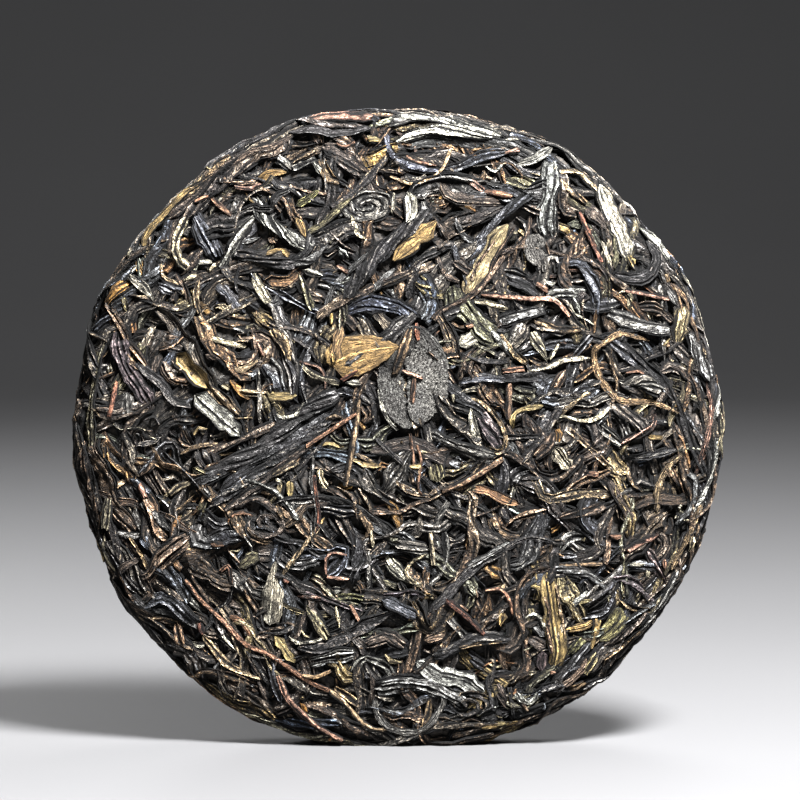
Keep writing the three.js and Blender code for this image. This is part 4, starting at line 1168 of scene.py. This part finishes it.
def lay_threads(pile, rng, side, count):
    """Fine curled threads and veins, over the whole of a side."""
    shortest, longest = THREAD_LENGTH
    for _ in range(count):
        place = drawn_place(rng, pile.cake.length / 2)
        length = shortest + (longest - shortest) * rng.beta(*THREAD_DRAW)
        path = wander(rng, place, rng.uniform(0, math.pi), length, rng.normal())
        kind = THREAD_KINDS[rng.integers(len(THREAD_KINDS))]
        pile.lay(Leaf(kind, side, path, rng.uniform(*THREAD_WIDTH), rng, form="thread"))


def lay_sweeps(pile, rng, side, count):
    """Long thin strands that run over many others in wide curves."""
    for _ in range(count):
        place = drawn_place(rng, SWEEP_REACH)
        length = rng.uniform(*SWEEP_LENGTH)
        kind = SWEEP_KINDS[rng.integers(len(SWEEP_KINDS))]
        bend = rng.normal() * SWEEP_BEND
        path = wander(rng, place, rng.uniform(0, math.pi), length, bend, SWEEP_UNREST)
        pile.lay(Leaf(kind, side, path, rng.uniform(*SWEEP_WIDTH), rng, form="rolled"))


def lay_crumbs(pile, rng, side, count):
    """Crumbs, as broad as long, caught between the leaves."""
    for _ in range(count):
        place = drawn_place(rng, pile.cake.length / 2)
        width = rng.uniform(*CRUMB_WIDTH)
        path = wander(rng, place, rng.uniform(0, math.pi), rng.uniform(*CRUMB_LENGTH), 0)
        leaf = Leaf(drawn_kind(rng), side, path, width, rng, form="crumb")
        leaf.kind = CRUMBS
        pile.lay(leaf)


def laid_pile(cake):
    """The whole cake's leaves, from the bed up."""
    rng = np.random.default_rng(SEED)
    pile = Pile(cake)
    lie = {side: wave_field(rng, *LIE_WAVES) for side in SIDES}
    for side in SIDES:
        lay_face(pile, rng, side, LOWER_LEAVES, LOWER_SCALE, lie[side])
    lay_rim(pile, rng, LOWER_RIM, RIM_SCALE)
    for side in SIDES:
        lay_bits(pile, rng, side, LOWER_BITS)
        lay_crumbs(pile, rng, side, LOWER_CRUMBS)
        lay_face(pile, rng, side, UPPER_LEAVES[side], UPPER_SCALE, lie[side])
    lay_face(pile, rng, "back", BACK_PALE_LEAVES, 1.0, lie["back"], PALE_KINDS)
    lay_rim(pile, rng, UPPER_RIM, RIM_SCALE)
    for side in SIDES:
        lay_sweeps(pile, rng, side, SWEEPS[side])
    for side in SIDES:
        lay_bits(pile, rng, side, UPPER_BITS)
        lay_threads(pile, rng, side, THREADS)
        lay_crumbs(pile, rng, side, UPPER_CRUMBS)
    lay_standouts(pile, rng)
    pile.level_out()
    return pile


# Leaf meshes


def section(place, squareness, flat):
    """Across and up, from -1 to 1, of places round a leaf's section. Most of the places are on
    its upper half, and on a flat leaf they are evenly spaced across."""
    upper = place < UPPER_SHARE
    above, under = place / UPPER_SHARE, (place - UPPER_SHARE) / (1 - UPPER_SHARE)
    if flat:
        across = np.where(upper, 2 * above - 1, 1 - 2 * under)
        up = (1 - np.minimum(np.abs(across), 1) ** squareness) ** (1 / squareness)
        return across, np.where(upper, up, -up)
    turn = np.where(upper, math.pi * (1 - above), -math.pi * under)
    cosine, sine = np.cos(turn), np.sin(turn)
    power = 2 / squareness
    across = np.sign(cosine) * np.abs(cosine) ** power
    up = np.sign(sine) * np.abs(sine) ** power
    return across, up


def leaf_rings_and_sides(leaf, length):
    """How many sections a leaf has along it, and corners round each."""
    if leaf.form == "crumb":
        return CRUMB_RINGS, FORM_SIDES["crumb"]
    if leaf.form == "stippled":
        return int(length / STIPPLE_STEP), FORM_SIDES["stippled"]
    rings = max(4, int(round(length / np.clip(leaf.width * RING_WIDTH, *RING_STEP))))
    rings = max(3, rings + EXTRA_RINGS.get(leaf.form, 0))
    rolled = int(np.clip(2 * round(leaf.width * ROLL_SIDES_TO_MM), *ROLL_SIDES))
    return rings, FORM_SIDES.get(leaf.form, rolled)


def taper_of(leaf, share, length, rng):
    """The share of a leaf's full width at places along it."""
    if leaf.form in WHOLE_FORMS:
        start, end = TAPERS[leaf.form]
        outline = np.maximum(share, 1e-6) ** start * np.maximum(1 - share, 1e-6) ** end
        ragged = 1 + WHOLE_RAGGED * rng.normal(size=len(share))
        return np.clip(outline / outline.max() * ragged, *WHOLE_TAPER)
    if leaf.form == "blade":
        outline = (1 - np.abs(2 * share - 1) ** rng.uniform(3.5, 8)) ** rng.uniform(0.5, 0.75)
        lobes = np.sin(2 * math.pi * (share * length / rng.uniform(5, 12) + rng.uniform()))
        outline *= 1 + LOBES * lobes + RAGGED * rng.normal(size=len(share))
        return np.clip(outline, *BLADE_TAPER)
    from_end = np.minimum(share, 1 - share) * length
    tip = np.where(share < 0.5, *leaf.tips)
    reach = np.where(share < 0.5, *leaf.tip_reach) * leaf.width
    taper = tip + (1 - tip) * np.clip(from_end / reach, 0, 1) ** 0.6
    slow = np.sin(2 * math.pi * (share * length / rng.uniform(7, 18) + rng.uniform()))
    taper *= 1 + SWELLS * slow * (leaf.form != "stem")
    return np.clip(taper * (1 + RAGGED * rng.normal(size=len(share))), *ROLL_TAPER)


def leaf_axes(cake, leaf, rings, rng):
    """Middles of a leaf's rings, and its directions ahead, aside and up at each."""
    at = np.linspace(0, len(leaf.path) - 1, rings)
    at[1:-1] += rng.uniform(-0.28, 0.28, rings - 2) * at[1]
    steps = np.arange(len(leaf.path))
    u = np.interp(at, steps, leaf.path[:, 0])
    v = np.interp(at, steps, leaf.path[:, 1])
    height = np.interp(at, steps, leaf.top) - leaf.thick / 2
    if leaf.form in ("rolled", "bundle"):
        height += CRINKLE * leaf.width * rng.normal(size=rings)
    centre, up = cake.point_and_normal(leaf.side, u, v, height)
    ahead = np.gradient(centre, axis=0)
    ahead /= np.linalg.norm(ahead, axis=1, keepdims=True)
    aside = np.cross(ahead, up)
    aside /= np.linalg.norm(aside, axis=1, keepdims=True)
    up = np.cross(aside, ahead)
    share = np.linspace(0, 1, rings)
    roll = leaf.roll * np.cos(math.pi * share * rng.uniform(0.5, 1.5) + rng.uniform(0, 3))
    cosine, sine = np.cos(roll)[:, None], np.sin(roll)[:, None]
    return centre, ahead, aside * cosine + up * sine, up * cosine - aside * sine


def leaf_margins(leaf, sides, rng):
    """The sides along which a leaf's rolled margin runs, with a gap beside it that gets painted
    shade.
    """
    if leaf.form not in (*DIVING_FORMS, "bit"):
        return []
    count = rng.integers(0, 3) if leaf.width > NARROW else rng.integers(0, 2)
    return [int(side) for side in rng.integers(sides, size=count)]


def leaf_folds(leaf, rings, sides, margins, rng):
    """How far each corner of each ring stands out, as ridges and creases along the leaf."""
    if leaf.form == "crumb":
        return rng.normal(size=(rings, sides))
    if leaf.form == "stippled":
        return STIPPLE_FOLD * rng.normal(size=(rings, sides))
    count = max(1, round(sides / CREASE_SPACING.get(leaf.form, ROLL_CREASE_SPACING)))
    places = (np.arange(count) + rng.uniform(-0.3, 0.3, count) + rng.uniform()) * sides / count
    fold = rng.uniform(*RIDGE_HEIGHT, sides)
    fold[places.astype(int) % sides] = -rng.uniform(*CREASE_DEPTH, count)
    fold *= FOLD_HEIGHT.get(leaf.form, 1.0)
    if leaf.form == "oval":
        fold[int(sides * UPPER_SHARE / 2)] = MIDRIB_RISE
    along = np.linspace(0, 1, rings)[:, None] * rng.uniform(1, 4, sides)
    fade = 0.7 + 0.4 * np.sin(2 * math.pi * (along + rng.uniform(size=sides)))
    fold = fold[None] * fade + 0.3 * rng.normal(size=(rings, sides))
    for side in margins:
        fold[:, side] = MARGIN_RISE + 0.15 * rng.normal(size=rings)
        fold[:, (side + 1) % sides] = -MARGIN_RISE
    return fold


def leaf_shade(pile, leaf, rings):
    """How light a leaf is along its length: painted shade where it lies deep in the pile."""
    at = np.linspace(0, len(leaf.path) - 1, rings).astype(int)
    crest = pile.crest[leaf.side][pile.cell(*leaf.path[at].T)]
    light = np.clip((DEEPEST - (crest - leaf.top[at])) / DEPTH_RANGE, 0, 1)
    return DEEP_SHADE + (1 - DEEP_SHADE) * light


def leaf_skin(pile, leaf, margins, fold, across, level, rng):
    """Colours and ridge values of the corners of a leaf's rings, both with painted shade and
    highlight.
    """
    rings, sides = fold.shape
    along = np.linspace(0, 1, rings)[:, None]
    wave = along * rng.uniform(*TINT_WAVES) + rng.uniform(0, 6)
    wave = wave + np.arange(sides) * 2 * math.pi / sides * rng.integers(3)
    blend = (0.5 + 0.5 * np.sin(wave))[..., None]
    tint = leaf.colours[0] * (1 - blend) + leaf.colours[1] * blend
    stripe = rng.uniform(*STRIPE_LIGHT, (1, sides)) * rng.uniform(*RING_LIGHT, (rings, sides))
    if leaf.form == "stippled":
        stripe = rng.uniform(*STIPPLE_LIGHT, (rings, sides))
    if leaf.form == "oval":
        stripe = 1 + OVAL_STRIPE * (stripe - 1)
        stripe[:, int(sides * UPPER_SHARE / 2)] = MIDRIB_LIGHT
    # Painted highlight on the margin and painted shade in the gap beside it
    for side in margins:
        stripe[:, side] *= rng.uniform(*MARGIN_LIGHT)
        stripe[:, (side + 1) % sides] *= UNDER_MARGIN
    # Painted shade: a leaf is darker deep in the pile and on its flanks and underside
    shade = leaf_shade(pile, leaf, rings)[:, None]
    flank = np.clip((level - FLANK_START) / FLANK_RANGE, FLANK_SHADE, 1)
    tint = tint * (stripe * shade * flank)[..., None]
    # Ridge values are highest on folds and upper sides, and lower on undersides and deep in the
    # pile, which the material turns into painted shade
    ridge = np.clip(BODY_RIDGE + 0.4 * fold, 0, 1) * np.clip(0.3 + 0.85 * level, 0.08, 1)
    ridge = ridge * (0.6 + 0.4 * shade)
    # Painted shade at the leaf's edges
    if leaf.form not in WHOLE_FORMS:
        ridge *= np.clip((1 - np.abs(across)) / EDGE_SHADE, 0.12, 1)
    if leaf.form == "stippled":
        ridge *= STIPPLE_RIDGE
    return tint, ridge


def leaf_mesh(pile, leaf):
    """One leaf's points ring by ring, then its two ends, with its colours and markings."""
    rng = np.random.default_rng(leaf.seed)
    length = (len(leaf.path) - 1) * PATH_STEP
    rings, sides = leaf_rings_and_sides(leaf, length)
    share = np.linspace(0, 1, rings)
    centre, ahead, aside, up = leaf_axes(pile.cake, leaf, rings, rng)
    taper = taper_of(leaf, share, length, rng)
    wide = leaf.width / 2 * taper
    deep = leaf.thick / 2 * (0.45 + 0.55 * taper) * (1 + 0.06 * rng.normal(size=rings))
    start = rng.uniform() if leaf.form in ("rolled", "bit") else 0.0
    place = np.arange(sides)[None] / sides + (leaf.twist * share + start)[:, None]
    squareness = SECTION_SQUARENESS.get(leaf.form, rng.uniform(*ROLL_SQUARENESS))
    across, level = section(place % 1.0, squareness, leaf.form in FLAT_FORMS)
    margins = leaf_margins(leaf, sides, rng)
    fold = leaf_folds(leaf, rings, sides, margins, rng)
    depth = leaf.ridge * fold * np.minimum(taper, 1)[:, None]
    curl = rng.normal() * 0.1 * leaf.width * (leaf.form == "blade")
    x = across * (wide[:, None] + 0.6 * depth)
    y = level * (deep[:, None] + depth) + curl * across**2
    points = centre[:, None] + aside[:, None] * x[..., None] + up[:, None] * y[..., None]
    for ring in (0, -1):
        torn = TORN_SHARE * wide[ring] * rng.uniform(-1, 1, sides)
        points[ring] += ahead[ring] * torn[:, None]
    ends = np.stack([
        centre[0] - ahead[0] * wide[0] * END_SHARE,
        centre[-1] + ahead[-1] * wide[-1] * END_SHARE,
    ])
    tint, ridge = leaf_skin(pile, leaf, margins, fold, across, level, rng)
    along, round_it = GRAIN_STRETCH.get(leaf.form, ROLL_GRAIN_STRETCH)
    contrast = FORM_CONTRAST.get(leaf.form, 1.0)
    return {
        "points": np.vstack([points.reshape(-1, 3), ends]),
        "rings": rings,
        "sides": sides,
        "leaf_tint": np.vstack([tint.reshape(-1, 3), tint[0].mean(0), tint[-1].mean(0)]),
        "ridge": np.r_[ridge.ravel(), END_RIDGE, END_RIDGE],
        "grain": (leaf.width * round_it, length * along, rng.uniform(0, GRAIN_SHIFT, 2)),
        "leaf_bloom": np.tile(leaf.bloom_and_highlight, (rings * sides + 2, 1)),
        "contrast": np.full(rings * sides + 2, contrast),
    }


def leaf_faces(rings, sides):
    """Corner numbers of a leaf's faces, and each corner's place in its grain, both as lists of
    one row for each face: first the four-cornered sides, then the three-cornered ends."""
    ring, side = (grid.reshape(-1, 1) for grid in np.mgrid[: rings - 1, :sides])
    ahead, across = ring + (0, 1, 1, 0), side + (0, 0, 1, 1)
    quads = ahead * sides + across % sides
    around = np.arange(sides)[:, None]
    after, last = (around + 1) % sides, rings - 1
    start = np.hstack([around, after, np.full_like(around, rings * sides)])
    end = np.hstack([after, around, np.full_like(around, sides + 1)]) + last * sides
    start_grain = np.stack(np.broadcast_arrays(around + (0, 1, 0.5), (0, 0, -0.3)), -1)
    end_grain = np.stack(np.broadcast_arrays(around + (1, 0, 0.5), (last, last, last + 0.3)), -1)
    grain = np.stack([across, ahead], -1)
    return quads, grain, np.vstack([start, end]), np.vstack([start_grain, end_grain])


def joined_leaves(pile, name, leaves):
    """One mesh object of many leaves, with their colours, ridges and grain."""
    parts = {label: [] for label in ("points", *MARKINGS, "corners", "sizes", "grains")}
    offset = 0
    shapes = {}
    for leaf in leaves:
        made = leaf_mesh(pile, leaf)
        key = (made["rings"], made["sides"])
        if key not in shapes:
            shapes[key] = leaf_faces(*key)
        quads, quad_grain, tris, tri_grain = shapes[key]
        for label in ("points", *MARKINGS):
            parts[label].append(made[label])
        width, length, shift = made["grain"]
        scale = np.array([width / made["sides"], length / made["rings"]])
        parts["corners"].append(np.r_[quads.ravel(), tris.ravel()] + offset)
        parts["sizes"].append(np.r_[np.full(len(quads), 4), np.full(len(tris), 3)])
        flat = np.vstack([quad_grain.reshape(-1, 2), tri_grain.reshape(-1, 2)])
        parts["grains"].append(flat * scale + shift)
        offset += len(made["points"])
    parts = {label: np.concatenate(arrays) for label, arrays in parts.items()}
    parts["points"] = pile.cake.in_frame(parts["points"])
    return mesh_object(name, parts)


def mesh_object(name, parts):
    """A mesh object from arrays, with its markings as attributes and its grain as a UV map."""
    mesh = bpy.data.meshes.new(name)
    mesh.vertices.add(len(parts["points"]))
    mesh.vertices.foreach_set("co", parts["points"].astype(np.float32).ravel())
    mesh.loops.add(len(parts["corners"]))
    mesh.loops.foreach_set("vertex_index", parts["corners"].astype(np.int32))
    mesh.polygons.add(len(parts["sizes"]))
    starts = np.r_[0, np.cumsum(parts["sizes"])[:-1]]
    mesh.polygons.foreach_set("loop_start", starts.astype(np.int32))
    mesh.update(calc_edges=True)
    for label, socket in MARKINGS.items():
        values = parts[label]
        kind, field = "FLOAT", "value"
        if socket == "Color":
            kind, field = "FLOAT_COLOR", "color"
            values = np.column_stack([values, np.ones(len(values))])
        layer = mesh.attributes.new(label, kind, "POINT")
        layer.data.foreach_set(field, values.astype(np.float32).ravel())
    grain = mesh.uv_layers.new(name="grain")
    grain.uv.foreach_set("vector", parts["grains"].astype(np.float32).ravel())
    mesh.validate()
    piece = bpy.data.objects.new(name, mesh)
    bpy.context.scene.collection.objects.link(piece)
    bpy.ops.object.select_all(action="DESELECT")
    bpy.context.view_layer.objects.active = piece
    piece.select_set(True)
    bpy.ops.object.shade_smooth_by_angle(angle=math.radians(SHARP_ANGLE))
    piece.select_set(False)
    return piece


# Materials


def node(tree, kind, sockets=None, **values):
    """A shader node with its properties and some of its sockets set."""
    made = tree.nodes.new(kind)
    for key, value in values.items():
        setattr(made, key, value)
    for key, value in (sockets or {}).items():
        made.inputs[key].default_value = value
    return made


def new_material(name):
    """A new material, its node tree and its shader."""
    material = bpy.data.materials.new(name)
    material.use_nodes = True
    return material, material.node_tree, material.node_tree.nodes["Principled BSDF"]


def ranged(tree, source, low, high, low_out, high_out):
    """A value carried from one range to another, and held at its ends."""
    sockets = {"From Min": low, "From Max": high, "To Min": low_out, "To Max": high_out}
    made = node(tree, "ShaderNodeMapRange", sockets)
    tree.links.new(source, made.inputs["Value"])
    return made.outputs["Result"]


def calculated(tree, operation, first, second):
    """What an operation on two values or sockets comes to."""
    made = node(tree, "ShaderNodeMath", operation=operation)
    for value, socket in ((first, made.inputs[0]), (second, made.inputs[1])):
        if isinstance(value, float):
            socket.default_value = value
        else:
            tree.links.new(value, socket)
    return made.outputs["Value"]


def noise(tree, place, stretch, detail, roughness):
    """Noise whose cells have the given number to a unit of each coordinate."""
    mapping = node(tree, "ShaderNodeMapping", {"Scale": stretch})
    sockets = {"Scale": 1.0, "Detail": detail, "Roughness": roughness}
    made = node(tree, "ShaderNodeTexNoise", sockets)
    tree.links.new(place, mapping.inputs["Vector"])
    tree.links.new(mapping.outputs["Vector"], made.inputs["Vector"])
    return made.outputs["Fac"]


def leaf_material(name, settings):
    """Dried leaf: its own colour, painted shade in the creases, pale bloom and painted highlight on
    the ridges, and fine streaks and specks along the grain, which are weaker on a smooth skin."""
    rough_skin = ROUGH_SKIN.get(name, 1.0)
    material, tree, shader = new_material(name)
    link = tree.links.new
    shader.inputs["Specular IOR Level"].default_value = settings.sheen

    def product(first, *others):
        """Values or sockets multiplied with one another."""
        for other in others:
            first = calculated(tree, "MULTIPLY", first, other)
        return first

    def from_middle(source):
        """How far a noise is from its middle value."""
        return calculated(tree, "ABSOLUTE", calculated(tree, "SUBTRACT", source, 0.5), 0.0)

    def mottled(source, low, high, dark, light):
        """Dark to light, drawn towards no change where the skin is smooth."""
        dark, light = (1 + (value - 1) * rough_skin for value in (dark, light))
        return ranged(tree, source, low, high, dark, light)

    tint, bloom_and_highlight, ridge, contrast = (
        node(tree, "ShaderNodeAttribute", attribute_name=label).outputs[socket]
        for label, socket in MARKINGS.items()
    )
    grain = node(tree, "ShaderNodeUVMap", uv_map="grain").outputs["UV"]
    place = node(tree, "ShaderNodeTexCoord").outputs["Object"]
    streaks = noise(tree, grain, *STREAK_NOISE)
    specks = noise(tree, grain, *SPECK_NOISE)
    clouds = noise(tree, place, *CLOUD_NOISE)
    wrinkle = ranged(tree, from_middle(noise(tree, grain, *WAVE_NOISE)), *WAVES)

    # Painted shade and highlight: the ridge value darkens creases, flanks, edges and leaves deep in
    # the pile, and lightens ridges. Fine cracks run where the streaks cross their middle value
    light = product(
        ranged(tree, ridge, *CREASES), mottled(streaks, *STREAKS), mottled(specks, *SPECKS),
        mottled(from_middle(streaks), *CRACKS), mottled(wrinkle, *WRINKLES),
        ranged(tree, clouds, *CLOUDS),
    )
    light = calculated(tree, "POWER", light, product(contrast, settings.leaf_contrast))
    shaded = node(tree, "ShaderNodeVectorMath", operation="SCALE")
    link(tint, shaded.inputs[0])
    link(light, shaded.inputs["Scale"])

    # The pale bloom and painted highlight: pale where a ridge meets a light streak
    pale = product(ridge, product(light, 0.5))
    pale = ranged(tree, pale, *PALE_RIDGES, 0.0, BLOOM_AND_HIGHLIGHT_SHARE.get(name, USUAL_BLOOM_AND_HIGHLIGHT))
    coloured = node(tree, "ShaderNodeMix", data_type="RGBA")
    link(bloom_and_highlight, coloured.inputs["B"])
    link(pale, coloured.inputs["Factor"])
    link(shaded.outputs["Vector"], coloured.inputs["A"])
    link(coloured.outputs["Result"], shader.inputs["Base Color"])
    # Creases and the edges with painted shade are matt, and ridges have a sheen
    matt = ranged(tree, product(ridge, specks), *MATT_RIDGES, MATT, SATIN)
    link(matt, shader.inputs["Roughness"])

    relief = calculated(tree, "ADD", streaks, product(specks, SPECK_RELIEF))
    relief = calculated(tree, "ADD", relief, product(wrinkle, WRINKLE_RELIEF))
    sockets = {"Strength": 1.0, "Distance": SKIN_RELIEF * rough_skin}
    bump = node(tree, "ShaderNodeBump", sockets)
    link(relief, bump.inputs["Height"])
    link(bump.outputs["Normal"], shader.inputs["Normal"])
    return material


def clouded_material(name, cells, detail, stops, roughness, relief=None):
    """Two shades that noise runs between, at the stops given, and a relief of the same noise."""
    material, tree, shader = new_material(name)
    link = tree.links.new
    place = node(tree, "ShaderNodeTexCoord")
    clouds = node(tree, "ShaderNodeTexNoise", {"Scale": cells, "Detail": detail})
    ramp = node(tree, "ShaderNodeValToRGB")
    for element, (at, colour) in zip(ramp.color_ramp.elements, stops):
        element.position = at
        element.color = (*colour, 1)
    link(place.outputs["Object"], clouds.inputs["Vector"])
    link(clouds.outputs["Fac"], ramp.inputs["Fac"])
    link(ramp.outputs["Color"], shader.inputs["Base Color"])
    if relief:
        bump = node(tree, "ShaderNodeBump", {"Distance": relief})
        link(clouds.outputs["Fac"], bump.inputs["Height"])
        link(bump.outputs["Normal"], shader.inputs["Normal"])
    shader.inputs["Roughness"].default_value = roughness
    return material


# Operators


def dressed(piece, material):
    """Gives a finished piece its material and its place in the frame."""
    piece.data.materials.append(material)
    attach(piece, "root")
    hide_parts(NODE)


class TEACAKE_OT_bed(Operator):
    """Turns the pressed bed about its axis and roughens it with crumbs"""

    bl_idname = "teacake.bed"
    bl_label = "Pressed bed"

    def execute(self, context):
        settings = context.scene.teacake
        cake = Cake(*NODE_BOX, settings)
        side = np.linspace(0, cake.length, settings.bed_steps)
        turns = np.linspace(0, 2 * math.pi, settings.bed_turns, endpoint=False)
        along, turn = np.meshgrid(side[1:-1], turns, indexing="ij")
        u, v = along * np.cos(turn), along * np.sin(turn)
        rng = np.random.default_rng(SEED)
        height = BED_WAVE_HEIGHT * wave_field(rng, *BED_WAVES)(u, v)
        height = height + BED_GRIT * rng.normal(size=u.shape) - BED_SINK
        points, _ = cake.point_and_normal("front", u, v, height)
        ends = np.array([0.0, cake.length])
        poles, _ = cake.point_and_normal("front", ends, np.zeros(2), np.zeros(2))
        points = np.vstack([points.reshape(-1, 3), poles])
        # Its rings run the other way round than a leaf's, so its faces are turned over
        quads, _, fans, _ = leaf_faces(*u.shape)
        faces = quads[:, [0, 3, 2, 1]].tolist() + fans[:, [1, 0, 2]].tolist()
        mesh = bpy.data.meshes.new("pressed_bed")
        mesh.from_pydata(cake.in_frame(points).tolist(), [], faces)
        piece = bpy.data.objects.new("pressed_bed", mesh)
        context.scene.collection.objects.link(piece)
        # The bed's dark colours are the leaves' own dark and painted shade for the gaps between
        # them
        stops = zip(BED_STOPS, (settings.bed_dark, settings.bed_light))
        material = clouded_material(
            "pressed_crumbs", *BED_NOISE, stops, BED_ROUGHNESS, BED_RELIEF
        )
        dressed(piece, material)
        return {"FINISHED"}


class TEACAKE_OT_leaves(Operator):
    """Lays the leaves, buds and stems on the bed, one mesh for each kind"""

    bl_idname = "teacake.leaves"
    bl_label = "Leaves"

    def execute(self, context):
        settings = context.scene.teacake
        pile = laid_pile(Cake(*NODE_BOX, settings))
        seen = pile.seen_leaves()
        for kind in (*KINDS, CRUMBS):
            piece = joined_leaves(pile, kind, [leaf for leaf in seen if leaf.kind == kind])
            dressed(piece, leaf_material(kind, settings))
        return {"FINISHED"}


class TEACAKE_OT_stage(Operator):
    """Sets the pale floor, the soft studio lights and the camera"""

    bl_idname = "teacake.stage"
    bl_label = "Stage"

    def execute(self, context):
        settings = context.scene.teacake
        bpy.ops.object.select_all(action="DESELECT")
        floor = self.sweep(context)
        colour = settings.floor_colour
        stops = ((0.0, [FLOOR_SHADE * part for part in colour]), (1.0, colour))
        material = clouded_material("pale_table", *FLOOR_NOISE, stops, FLOOR_ROUGHNESS)
        floor.data.materials.append(material)

        world = bpy.data.worlds.new("studio")
        context.scene.world = world
        world.use_nodes = True
        sky = world.node_tree.nodes["Background"]
        sky.inputs["Color"].default_value = SKY_COLOUR
        sky.inputs["Strength"].default_value = settings.ambient

        middle = Vector((0, 0, Cake(*NODE_BOX, settings).middle_z * MM))
        for name, (place, size) in LIGHTS.items():
            self.area(context, name, place, size, getattr(settings, f"{name}_power"), middle)
        self.camera(context, settings, middle)
        context.scene.view_settings.view_transform = "Standard"
        return {"FINISHED"}

    @staticmethod
    def sweep(context):
        """A floor that turns up into a wall behind the cake, in one curve."""
        turn = np.linspace(0, math.pi / 2, 24)
        bend = FLOOR_BACK - FLOOR_BEND + FLOOR_BEND * np.sin(turn)
        y = np.r_[FLOOR_FRONT, bend, FLOOR_BACK]
        z = np.r_[0.0, FLOOR_BEND - FLOOR_BEND * np.cos(turn), WALL_HEIGHT]
        points = [(x, a, b) for a, b in zip(y, z) for x in (-FLOOR_SIDE, FLOOR_SIDE)]
        faces = [(2 * i, 2 * i + 1, 2 * i + 3, 2 * i + 2) for i in range(len(y) - 1)]
        mesh = bpy.data.meshes.new("floor")
        mesh.from_pydata(points, [], faces)
        mesh.shade_smooth()
        floor = bpy.data.objects.new("floor", mesh)
        context.scene.collection.objects.link(floor)
        return floor

    @staticmethod
    def area(context, name, place, size, power, middle):
        """A soft light that looks at the cake's middle."""
        light = bpy.data.lights.new(name, "AREA")
        light.shape, light.size, light.size_y = "RECTANGLE", *size
        light.energy = power
        lamp = bpy.data.objects.new(name, light)
        lamp.location = place
        aim = middle - lamp.location
        lamp.rotation_euler = aim.to_track_quat("-Z", "Y").to_euler()
        context.scene.collection.objects.link(lamp)

    @staticmethod
    def camera(context, settings, middle):
        """The camera, from in front and a little above."""
        data = bpy.data.cameras.new("camera")
        data.angle = settings.view_angle
        camera = bpy.data.objects.new("camera", data)
        rise = math.sin(settings.elevation) * settings.distance
        back = math.cos(settings.elevation) * settings.distance
        target = middle + Vector(TARGET_SHIFT)
        camera.location = target + Vector((0, -back, rise))
        camera.rotation_euler = (target - camera.location).to_track_quat("-Z", "Y").to_euler()
        data.clip_start, data.clip_end = CLIP
        context.scene.collection.objects.link(camera)
        context.scene.camera = camera


class TeaCakeSettings(PropertyGroup):
    """What a user can change about the cake and its stage"""

    front_dome: FloatProperty(
        name="Front dome", description="Rise of the shown face over its edge", default=0.0052,
        unit="LENGTH",
    )
    back_dome: FloatProperty(
        name="Back dome", description="Rise of the back over its edge", default=0.0042,
        unit="LENGTH",
    )
    hollow_radius: FloatProperty(
        name="Hollow radius", description="Radius of the back's hollow", default=0.027,
        unit="LENGTH",
    )
    hollow_depth: FloatProperty(
        name="Hollow depth", description="Depth of the back's hollow", default=0.0105,
        unit="LENGTH",
    )
    bed_steps: IntProperty(
        name="Bed rings", description="Rings of the bed from pole to pole", default=190, min=20,
    )
    bed_turns: IntProperty(
        name="Bed spokes", description="Places round the bed", default=250, min=20,
    )
    # The bed's two colours are the leaves' own dark and painted shade for the gaps between the
    # leaves
    bed_dark: FloatVectorProperty(
        name="Bed's dark", description="Dark shade of the gaps", subtype="COLOR",
        default=tuple(linear(12, 11, 10)),
    )
    bed_light: FloatVectorProperty(
        name="Bed's light", description="Light shade of the gaps", subtype="COLOR",
        default=tuple(linear(50, 44, 38)),
    )
    leaf_contrast: FloatProperty(
        name="Contrast", description="How much light and dark differ on a leaf", default=1.15,
    )
    sheen: FloatProperty(
        name="Sheen", description="How much the leaves shine", default=0.19, subtype="FACTOR",
    )
    floor_colour: FloatVectorProperty(
        name="Floor", description="Colour of the floor", default=(0.072, 0.072, 0.074),
        subtype="COLOR",
    )
    key_power: FloatProperty(
        name="Key light", description="Light over the right shoulder", default=78.0, unit="POWER",
    )
    edge_power: FloatProperty(
        name="Edge light", description="Light behind the edge", default=9.0, unit="POWER",
    )
    fill_power: FloatProperty(
        name="Fill light", description="Light on the left", default=1.2, unit="POWER",
    )
    rear_power: FloatProperty(
        name="Rear light", description="Light on the back", default=5.0, unit="POWER",
    )
    ambient: FloatProperty(
        name="Room light", description="Strength of the light from all round", default=0.006,
    )
    view_angle: FloatProperty(
        name="View angle", description="What the camera takes in", default=VIEW_ANGLE,
        subtype="ANGLE",
    )
    elevation: FloatProperty(
        name="Elevation", description="Camera over the horizon", default=ELEVATION, subtype="ANGLE",
    )
    distance: FloatProperty(
        name="Distance", description="Camera to cake", default=1.0, unit="LENGTH",
    )


class TEACAKE_PT_panel(Panel):
    """Lists the cake's steps and settings in the sidebar"""

    bl_label = "Tea Cake"
    bl_idname = "TEACAKE_PT_panel"
    bl_space_type = "VIEW_3D"
    bl_region_type = "UI"
    bl_category = "Tea Cake"

    def draw(self, context):
        for operator in STEPS:
            self.layout.operator(operator.bl_idname)
        for setting in TeaCakeSettings.__annotations__:
            self.layout.prop(context.scene.teacake, setting)


STEPS = (TEACAKE_OT_stage, TEACAKE_OT_bed, TEACAKE_OT_leaves)
CLASSES = (TeaCakeSettings, *STEPS, TEACAKE_PT_panel)


def register():
    """Adds the settings, the operators and the panel."""
    for item in CLASSES:
        bpy.utils.register_class(item)
    bpy.types.Scene.teacake = PointerProperty(type=TeaCakeSettings)


def unregister():
    """Takes them away again."""
    del bpy.types.Scene.teacake
    for item in reversed(CLASSES):
        bpy.utils.unregister_class(item)


def main():
    """Models the cake on its stage."""
    register()
    bpy.ops.teacake.stage()
    bpy.ops.teacake.bed()
    bpy.ops.teacake.leaves()


if __name__ == "__main__":
    main()
